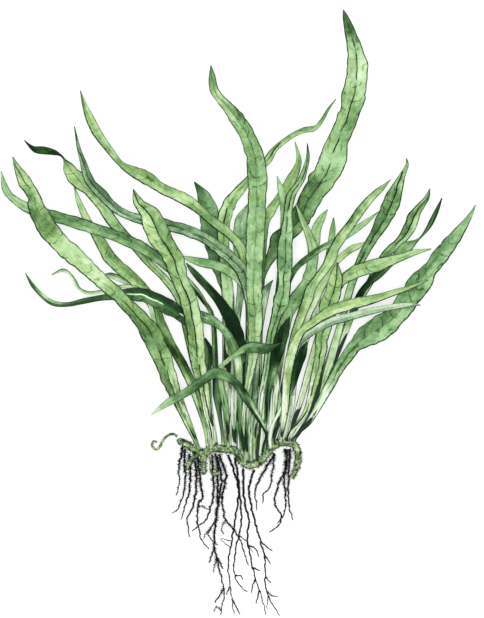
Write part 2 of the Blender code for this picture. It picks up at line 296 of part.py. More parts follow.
# Roots: x, y and z from the rhizome's underside to the tip. They come to lie on the table
ROOTS = {
    "root_01": [(-28, -67.2, 8), (-28.5, -72, 5), (-30, -78, 1.5), (-29.5, -84, 0.7), (-31, -92, 0.7)],
    "root_02": [(-26.6, -68.4, 7.5), (-27, -76, 3.5), (-26.5, -83, 1.4), (-27.5, -91, 1),
                (-30, -98, 0.7), (-33, -101, 0.7)],
    "root_03": [(-24.6, -70.8, 6.6), (-24, -83, 2.8), (-25, -92, 1.8), (-27, -98, 1.6),
                (-28.5, -104, 1.2)],
    "root_04": [(-21.5, -74.5, 7), (-21, -86, 3.4), (-22.5, -97, 1.4), (-25.5, -103.5, 0.7),
                (-24.5, -113, 0.7)],
    "root_05": [(-20.2, -72.6, 6.6), (-19, -84, 5), (-18, -93, 3), (-20, -96, 2.2), (-20.5, -101, 1.4),
                (-20, -108, 0.8), (-18, -115, 0.7), (-14.5, -119, 0.7)],
    "root_06": [(-13.2, -71.2, 8), (-12.5, -84, 5), (-12.5, -92, 3.4), (-15.5, -103, 2),
                (-19.5, -107, 2.4), (-23.5, -110, 2.4)],
    "root_07": [(-11.5, -70.8, 7.6), (-8.5, -81, 4), (-9, -90, 2.2), (-11.5, -104, 0.8),
                (-15, -112, 0.7), (-10, -117, 0.7)],
    "root_08": [(-9.5, -71.2, 8), (-6, -82, 5.4), (-8, -92.5, 4), (-6.5, -103.5, 2.4),
                (-1.5, -110, 1), (2, -117, 0.7), (5, -127.5, 0.7)],
    "root_09": [(-5, -71.4, 7.4), (-1, -83, 4), (1.2, -95, 2.4), (1.5, -107, 2.6), (-1, -118, 2.4),
                (-2, -131, 1.6), (1.5, -138, 0.8), (4.5, -140.5, 0.7)],
    "root_10": [(-1.6, -72.6, 7.6), (0.5, -88, 6), (-1, -101, 5), (-3.5, -117, 2.4),
                (-5, -127, 0.8), (-3.5, -141, 0.7), (-2, -152, 0.7)],
    "root_11": [(2.6, -78.2, 8), (3, -93, 4.6), (5.5, -105, 3), (4.6, -113, 2.6), (6.5, -124, 2.4),
                (8.5, -133, 1.6), (12, -143.5, 1), (14, -152, 0.7)],
    "root_12": [(8.2, -78.9, 7.6), (5.5, -88.5, 6.4), (7.5, -101, 4.4), (11, -114, 2.6),
                (13.5, -124, 0.8), (14, -138.5, 0.9), (17.5, -147, 1.6), (21, -152.5, 2.2)],
    "root_13": [(-10.5, -72.2, 9.8), (-10.3, -95, 6.6), (-12, -113, 3.4), (-11.5, -120, 2),
                (-9, -131, 0.7), (-7, -141, 0.7), (-9, -152, 0.7)],
    "root_14": [(18.6, -70.6, 8), (14, -78, 7), (10, -85.5, 4.4), (8.6, -90, 2), (9.5, -99.5, 1.4)],
    "root_15": [(23.5, -68.2, 8), (24.5, -77, 6), (20.5, -86, 3), (18.5, -96, 1.2), (22, -102.5, 0.7),
                (19.5, -108, 0.7), (15.5, -110.5, 0.7)],
    "root_16": [(26.2, -68.4, 7.4), (25.5, -82, 2.6), (25.5, -95, 1), (27.5, -104.5, 0.7)],
    "root_17": [(24.9, -68.4, 9.6), (23.8, -78, 9.2), (23.2, -84, 7.4), (24, -95, 3.8), (22.8, -102, 2.6),
                (19.6, -106, 2.4)],
}

# Side rootlets: the root each grows from, then x and y from that root to the rootlet's tip
ROOTLETS = [
    ("root_09", [(-1, -132), (1.5, -132.5), (2.5, -134.5)]),
    ("root_10", [(-4, -138), (-6, -142)]),
    ("root_10", [(-2.6, -144), (1, -152)]),
    ("root_11", [(5.6, -117), (8.5, -118.5), (10.5, -123)]),
    ("root_11", [(7.5, -128.5), (11, -130)]),
    ("root_11", [(8.5, -134), (6.5, -141)]),
    ("root_11", [(10.5, -139.5), (9, -146.5)]),
    ("root_12", [(11.5, -115), (14.5, -118), (17.5, -120)]),
    ("root_12", [(13, -121.5), (16.5, -126.5)]),
    ("root_12", [(13.6, -133), (16.5, -136)]),
    ("root_12", [(14.5, -139.5), (17, -142.5), (20, -142.8)]),
    ("root_13", [(-11.8, -118), (-13, -122), (-15, -126)]),
    ("root_13", [(-11, -122), (-7.5, -129)]),
    ("root_13", [(-7.4, -139), (-11.5, -146)]),
    ("root_14", [(18.6, -72), (17.4, -79), (16, -87.5), (12.8, -91.5), (12.4, -96)]),
]


def clear_scene():
    for old in list(bpy.data.objects):
        bpy.data.objects.remove(old, do_unlink=True)


def new_collection(name):
    made = bpy.data.collections.new(name)
    bpy.context.scene.collection.children.link(made)
    return made


def material(name, colour, roughness):
    made = bpy.data.materials.new(name)
    made.use_nodes = True
    shader = made.node_tree.nodes["Principled BSDF"]
    shader.inputs["Base Color"].default_value = (*colour, 1.0)
    shader.inputs["Roughness"].default_value = roughness
    shader.inputs["Metallic"].default_value = 0.0
    made.diffuse_color = (*colour, 1.0)
    return made


def between(before, start, end, after, share):
    """A point on the smooth curve that runs through start and end, with before and after beside them."""
    square = share * share
    cube = square * share
    return tuple(
        0.5 * (2 * b + (c - a) * share + (2 * a - 5 * b + 4 * c - d) * square
               + (3 * b - a - 3 * c + d) * cube)
        for a, b, c, d in zip(before, start, end, after)
    )


def travel_share(share, crowding):
    """How far along its line a step lies, when the steps shorten toward the end."""
    return 1 - (1 - share) ** crowding


def smooth_path(points, count, crowding=1.0):
    """count + 1 points along a smooth curve through the given ones, closer together toward its end."""
    padded = [points[0], *points, points[-1]]
    dense = []
    for start in range(len(points) - 1):
        for sample in range(SPLINE_SAMPLES):
            dense.append(between(*padded[start:start + 4], sample / SPLINE_SAMPLES))
    dense.append(tuple(points[-1]))
    travelled = [0.0]
    for before, after in zip(dense, dense[1:]):
        travelled.append(travelled[-1] + math.dist(before[:3], after[:3]))
    path = []
    place = 0
    for index in range(count + 1):
        goal = travelled[-1] * travel_share(index / count, crowding)
        while place < len(dense) - 2 and travelled[place + 1] < goal:
            place += 1
        step = travelled[place + 1] - travelled[place]
        share = (goal - travelled[place]) / step if step else 0.0
        path.append(tuple(a + (b - a) * share for a, b in zip(dense[place], dense[place + 1])))
    return path


def route_length(points):
    return sum(math.dist(a[:3], b[:3]) for a, b in zip(points, points[1:]))


def stepped(points, value):
    """value read off a list of (place, amount) pairs, straight between them."""
    for (place, amount), (next_place, next_amount) in zip(points, points[1:]):
        if value <= next_place:
            share = (value - place) / (next_place - place)
            return amount + (next_amount - amount) * share
    return points[-1][1]


def rhizome_line():
    return RHIZOME_LEFT[:-1] + RHIZOME_MAIN[2:-3]


def foot_of(x, angle):
    """Where a stalk starts: just off the rhizome's surface at x, at an angle round it from its top."""
    line = rhizome_line()
    for (x_0, y_0, r_0), (x_1, y_1, r_1) in zip(line, line[1:]):
        if x_0 <= x <= x_1:
            share = (x - x_0) / (x_1 - x_0)
            y = y_0 + (y_1 - y_0) * share
            slope = math.atan2(y_1 - y_0, x_1 - x_0)
            reach = r_0 + (r_1 - r_0) * share + JOINT_GAP + STALK_THICKNESS / 2
            turned = math.radians(angle)
            up = reach * math.cos(turned)
            return (
                x - up * math.sin(slope),
                y + up * math.cos(slope),
                RHIZOME_HEIGHT + reach * math.sin(turned),
            )
    raise ValueError(f"no rhizome at x = {x}")


def leaf_points(leaf):
    return [(*foot_of(*leaf.foot), STALK_WIDTH), *leaf.route]


def blade_share(width):
    """0 on the stalk and 1 on the full blade."""
    share = (width - STALK_ENDS) / (BLADE_BEGINS - STALK_ENDS)
    share = min(1.0, max(0.0, share))
    return share * share * (3 - 2 * share)


def slant(along):
    """How much narrower a leaf is across its own line than it was read, level or upright."""
    return max(abs(along.x), abs(along.y)) / math.hypot(along.x, along.y)


def leaf_roll(name, leaf, share):
    turns = TWISTS.get(name) or [(0, leaf.roll[0]), (1, leaf.roll[1])]
    return math.radians(stepped(turns, share))


def build_leaf(name, leaf, parts):
    points = leaf_points(leaf)
    length = route_length(points)
    steps = min(MOST_LEAF_STEPS, max(FEWEST_LEAF_STEPS, round(length / LEAF_STEP)))
    path = smooth_path(points, steps, TIP_CROWDING)
    mesh = bpy.data.meshes.new(name)
    grid = bmesh.new()
    bmesh.ops.create_grid(grid, x_segments=steps, y_segments=2, size=0.5)
    widths = {}
    for vertex in grid.verts:
        side = -2 * vertex.co.y
        station = round((vertex.co.x + 0.5) * steps)
        share = travel_share(station / steps, TIP_CROWDING)
        x, y, z, width = path[station]
        before = Vector(path[max(0, station - 1)][:3])
        after = Vector(path[min(steps, station + 1)][:3])
        along = (after - before).normalized()
        across = along.cross(Vector((0, 0, 1))).normalized()
        facing = across.cross(along)
        roll = leaf_roll(name, leaf, share)
        across, facing = (
            across * math.cos(roll) + facing * math.sin(roll),
            facing * math.cos(roll) - across * math.sin(roll),
        )
        width *= slant(along)
        half = width / 2 / max(0.6, abs(math.cos(roll)))
        spread = blade_share(width)
        height, wave_length = leaf.wave
        phase = 2 * math.pi * share * length / wave_length + side * 1.1
        lift = spread * (CHANNEL * width + height * math.sin(phase)) * abs(side)
        place = Vector((x, y, z)) + across * (half * side) + facing * lift
        vertex.co = place * MM
        widths[vertex.index] = spread
    bmesh.ops.recalc_face_normals(grid, faces=grid.faces)
    grid.to_mesh(mesh)
    grid.free()
    piece = bpy.data.objects.new(name, mesh)
    parts.objects.link(piece)
    stalk = piece.vertex_groups.new(name="stalk")
    for index, spread in widths.items():
        stalk.add([index], 1 - spread, "REPLACE")
    shell = piece.modifiers.new("Thickness", "SOLIDIFY")
    shell.thickness = STALK_THICKNESS * MM
    shell.offset = 0
    shell.vertex_group = stalk.name
    shell.thickness_vertex_group = BLADE_THICKNESS / STALK_THICKNESS
    mesh.shade_smooth()
    mesh.materials.append(material(name, leaf.colour, LEAF_ROUGHNESS))


def tube_steps(points, step):
    return max(FEWEST_TUBE_STEPS, round(route_length(points) / step))


def tube(name, points, step, sides_level, parts):
    """A curve object through points of x, y, z and radius, round and closed at both ends."""
    path = smooth_path(points, tube_steps(points, step))
    wire = bpy.data.curves.new(name, "CURVE")
    wire.dimensions = "3D"
    wire.bevel_depth = MM
    wire.bevel_resolution = sides_level
    wire.use_fill_caps = True
    wire.render_resolution_u = 0
    spline = wire.splines.new("POLY")
    spline.points.add(len(path) - 1)
    for point, (x, y, z, radius) in zip(spline.points, path):
        point.co = (x * MM, y * MM, z * MM, 1)
        point.radius = radius
    piece = bpy.data.objects.new(name, wire)
    parts.objects.link(piece)
    return piece


def solid_from(piece):
    """The same shape as a closed mesh, in place of a curve object."""
    graph = bpy.context.evaluated_depsgraph_get()
    mesh = bpy.data.meshes.new_from_object(piece.evaluated_get(graph))
    welded = bmesh.new()
    welded.from_mesh(mesh)
    bmesh.ops.remove_doubles(welded, verts=welded.verts, dist=0.00001)
    welded.to_mesh(mesh)
    welded.free()
    mesh.shade_smooth()
    name = piece.name
    collection = piece.users_collection[0]
    placed = piece.matrix_world.copy()
    bpy.data.objects.remove(piece, do_unlink=True)
    solid = bpy.data.objects.new(name, mesh)
    solid.matrix_world = placed
    collection.objects.link(solid)
    return solid


def fuse(main, arms):
    for arm in arms:
        arm.hide_render = True
        arm.display_type = "WIRE"
        join = main.modifiers.new(arm.name, "BOOLEAN")
        join.operation = "UNION"
        join.object = arm


def build_rhizome(parts, cutters):
    lines = {"rhizome": RHIZOME_MAIN, "rhizome_left": RHIZOME_LEFT, "rhizome_tip": RHIZOME_SHORT_TIP}
    solids = []
    for name, line in lines.items():
        points = [(x, y, RHIZOME_HEIGHT, radius) for x, y, radius in line]
        home = cutters if solids else parts
        solids.append(solid_from(tube(name, points, RHIZOME_STEP, 1, home)))
    fuse(solids[0], solids[1:])
    solids[0].data.materials.append(material("rhizome", RHIZOME_GREEN, WOODY_ROUGHNESS))


def build_frond(name, points, parts):
    frond = tube(name, points, FROND_STEP, 0, parts)
    frond.data.materials.append(material(name, RHIZOME_GREEN, WOODY_ROUGHNESS))


def thinned(points, radius, tip_radius):
    last = len(points) - 1
    return [(*point, radius + (tip_radius - radius) * index / last) for index, point in enumerate(points)]


def rootlet_line(root_line, outline):
    """A rootlet in space. It starts on its root's own line and sinks to the table."""
    places = []
    for before, after in zip(root_line, root_line[1:]):
        for share in (0, 0.25, 0.5, 0.75):
            places.append([a + (b - a) * share for a, b in zip(before, after)])
    start = min(places, key=lambda place: math.dist(place[:2], outline[0]))
    last = len(outline) - 1
    line = [tuple(start)]
    for index, (x, y) in enumerate(outline[1:], 1):
        line.append((x, y, start[2] + (RESTING_HEIGHT - start[2]) * index / last))
    return line


def build_root(name, points, parts, cutters):
    line = thinned(points, ROOT_RADIUS, ROOT_TIP_RADIUS)
    root = tube(name, line, ROOT_STEP, 0, parts)
    outlines = [outline for grown_from, outline in ROOTLETS if grown_from == name]
    if outlines:
        root = solid_from(root)
        root_line = [point[:3] for point in smooth_path(line, tube_steps(line, ROOT_STEP))]
        arms = []
        for number, outline in enumerate(outlines, 1):
            rootlet = thinned(rootlet_line(root_line, outline), ROOTLET_RADIUS, ROOTLET_TIP_RADIUS)
            arm = tube(f"{name}_rootlet_{number}", rootlet, ROOTLET_STEP, 0, cutters)
            arms.append(solid_from(arm))
        fuse(root, arms)
    root.data.materials.append(material(name, ROOT_BROWN, WOODY_ROUGHNESS))


def main():
    clear_scene()
    parts = new_collection("java_fern")
    cutters = new_collection("cutters")
    for name, leaf in LEAVES.items():
        build_leaf(name, leaf, parts)
    build_rhizome(parts, cutters)
    for name, points in FRONDS.items():
        build_frond(name, points, parts)
    for name, points in ROOTS.items():
        build_root(name, points, parts, cutters)


main()
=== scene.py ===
"""Looks of the narrow leaf java fern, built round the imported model.

Millimetres are used throughout. +Y is up the plant, +Z faces the viewer and the table is z = 0.
The tables of leaves, rhizome, fronds and roots are those of the solid model, with finer surfaces here.
"""

import math
import random
from collections import namedtuple
from functools import cache, partialmethod

import bmesh
import bpy
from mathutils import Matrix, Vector


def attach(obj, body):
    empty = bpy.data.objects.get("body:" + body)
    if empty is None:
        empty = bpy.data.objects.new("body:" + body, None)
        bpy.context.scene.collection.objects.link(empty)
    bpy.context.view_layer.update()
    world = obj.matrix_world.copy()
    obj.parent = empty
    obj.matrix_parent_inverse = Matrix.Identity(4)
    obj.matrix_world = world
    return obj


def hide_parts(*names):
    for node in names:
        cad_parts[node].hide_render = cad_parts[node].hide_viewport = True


MM = 0.001
UP = Vector((0, 0, 1))

# Sizes shared with the solid model
BLADE_THICKNESS = 0.5
STALK_THICKNESS = 1.1
STALK_WIDTH = 1.7
RHIZOME_HEIGHT = 9.0
JOINT_GAP = 0.5
ROOT_RADIUS = 0.55
ROOT_TIP_RADIUS = 0.3
ROOTLET_RADIUS = 0.32
ROOTLET_TIP_RADIUS = 0.22
RESTING_HEIGHT = 0.7
SPLINE_SAMPLES = 24
CHANNEL = 0.10
STALK_ENDS = 3.0
BLADE_BEGINS = 7.0

# How finely the visible surfaces are divided
LEAF_STEP = 1.1
ACROSS = (-1, -0.94, -0.78, -0.55, -0.3, -0.1, 0, 0.1, 0.3, 0.55, 0.78, 0.94, 1)
RHIZOME_STEP = 0.45
RHIZOME_SIDES = 20
ROOT_STEP = 0.8
ROOT_SIDES = 8
FROND_STEP = 0.3
FROND_SIDES = 10

# A leaf's finer form: heights and depths in millimetres, and the lengths of its waves
LEFT_AND_RIGHT = (-1, 1)
STALK_DEPTH = 1.2
RUFFLE_HEIGHT = 0.28
RUFFLE_LENGTHS = (7.5, 11.0, 17.0)
BUCKLE_HEIGHT = 0.10
BUCKLE_LENGTHS = (9.0, 13.0)
OUTLINE_LENGTHS = (6.0, 9.0, 14.0)
LOBE_LENGTH = 13.0
MARGIN_LAG = 1.1
CUPPING = 1.3
RIB_GROOVE = 0.10
RIB_RIDGE = 0.22
RIB_SHARE = 0.2
LEAST_FACING = 0.6
MIDDLE_BLEND = 0.12
NOISE_APART = 37.0

# The finer form of rhizome, fronds and roots: sizes, and lengths of waves
SWELL_LENGTHS = (3.1, 4.7, 7.9)
LUMP_LENGTHS = (1.3, 2.1)
BUMP_LENGTHS = (1.9, 3.3)
WANDER_LENGTHS = (3.7, 6.1, 9.5)
ROUGH_LENGTHS = (1.1, 1.7, 2.9)
ROOT_WANDER = 0.4
ROOT_ROUGHNESS = 0.34
FINE_RADIUS = 0.17
FINE_TIP_RADIUS = 0.09
TIP_THINNING = 0.7
CAP_SHIFT = 0.35
CAP_SHRINK = 0.6

# Hairs: millimetres of tube for each, their length and thickness, how they hang, and how much
#   shorter they are at the tube's end
Hairs = namedtuple("Hairs", "spacing length thickness droop ebb")
RHIZOME_HAIRS = Hairs(0.055, 1.7, 0.15, 0.2, 0.0)
FROND_HAIRS = Hairs(0.14, 0.9, 0.1, 0.1, 0.0)
ROOT_HAIRS = Hairs(0.11, 2.2, 0.13, 0.1, 0.8)
SHORT_ROOT_HAIRS = ROOT_HAIRS._replace(length=0.9)
# Roots that start between these places have the short hairs
SPARSE_FROM = -8.0
SPARSE_TO = 12.0
HAIR_BEND = 0.55
HAIR_SINK = 0.06
HAIR_TAPER = 0.7
THIRDS_OF_TURN = (0, 2.094, 4.189)
TIP_CLEARANCE = 0.05
HAIR_CLEARANCE = 0.02

# The record's material slots
DARK_GREEN = "dark_leaf"
MID_GREEN = "mid_leaf"
LIGHT_GREEN = "light_leaf"
GREY_GREEN = "grey_leaf"

# The camera looks straight down on the plant's middle height, from far enough for a flat view
CAMERA_HEIGHT = 3.0
FOCUS_HEIGHT = 0.025
PICTURE_CENTRE = (0.002, 0.002)
PICTURE_HEIGHT = 0.309
SENSOR_HEIGHT = 36
CAMERA_REACH = 20
TABLE_SIZE = 6
TABLE_DROP = 0.0002
WORLD_STRENGTH = 0.3
WHITE = (1, 1, 1, 1)
DULL_TABLE = (0.48, 0.49, 0.48, 1)
BRIGHT_TABLE = (0.51, 0.51, 0.51, 1)
# The table is lit from below a little, as a light table for pressed plants is
TABLE_GLOW = 0.56
# Soft lights: name, place in metres, size in metres and power in watts
LIGHTS = [
    ("overhead", (0, 0, 4.0), 0.8, 122),
    ("key", (-0.9, 0.9, 1.4), 1.2, 8.3),
    ("fill", (1.0, -0.4, 1.6), 1.6, 2.8),
]

# Greens from the darkest to the palest, as screen colours, for each tint of leaf
PLAIN = [(12, 38, 17), (34, 65, 34), (56, 90, 53), (79, 114, 73), (100, 138, 90), (121, 160, 108),
         (143, 181, 128), (168, 202, 152), (195, 221, 181), (224, 240, 217)]
GREYED = [(16, 36, 24), (40, 65, 44), (60, 88, 62), (81, 110, 80), (103, 134, 102), (125, 156, 122),
          (149, 178, 144), (175, 200, 168), (200, 219, 194), (228, 238, 223)]
YELLOWED = [(17, 37, 16), (43, 71, 33), (66, 97, 49), (90, 121, 66), (113, 146, 84), (135, 168, 103),
            (158, 189, 126), (183, 209, 152), (206, 226, 179), (231, 241, 212)]
# Dark green of the thin ink lines and strokes, and of the painted shade on the low back stalks
INK_AND_SHADE_GREEN = (20, 36, 26)
RHIZOME_SKIN = [(26, 40, 26), (68, 92, 60), (118, 146, 98), (160, 184, 136), (204, 220, 188)]
RHIZOME_FUZZ = [(8, 12, 8), (24, 34, 22), (74, 92, 66)]
ROOT_SKIN = [(6, 8, 6), (14, 16, 14), (30, 34, 30), (78, 84, 76)]
ROOT_FUZZ = [(12, 14, 12), (30, 33, 30), (66, 72, 64)]

# The highest digit in the tables of tones, tints and midribs
PALEST = 9
# Marks painted on the leaves. In a pair, the mark is full up to the first amount and gone at the second
RIB_LINE = (0.22, 0.45)
BESIDE_RIB = (0.4, 1.6)
MARGIN_LINE = (0.45, 0.75)
ARCS_TO_MILLIMETRE = 0.11
ARC_BOW = -0.55
ARC_WANDER = 2.2
ARC_LINE = (0.03, 0.09)
PALE_FOOT = (18.0, 56.0)
# Painted shade on the back stalks: how far along a stalk, and how high above the table in metres, its
# black patches reach
SHADE_ALONG_STALKS = (62.0, 80.0)
SHADE_HEIGHT = (0.015, 0.019)

# foot: x where the stalk leaves the rhizome, and its angle round it (0 up the plant, 90 to the front)
# roll: turn of the blade about its own line, in degrees, at the foot and at the tip
# wave: height and length of the waves along the margins
# slot: the record's material slot
# tint: 0 grey green, 5 plain green, 9 yellow green
# lines: how dark the thin line is along the left margin, the right margin and the midrib. A midrib
#   below zero is paler than the blade
# left, right: tones of the two halves, looking along the leaf from its foot, one digit for the foot and
#   one for each point of its route: 0 is the darkest green and 9 the palest. The tones are partly the
#   leaf's own greens and partly painted shade and light: dark where a leaf lies in shade, pale where light
#   falls
# route: x, y, z and width, from the foot to the tip. The width is read level where the leaf runs
#   up the plant and upright where it runs sideways, so a slanting leaf is narrower than that
Leaf = namedtuple("Leaf", "foot roll wave slot tint lines left right route")

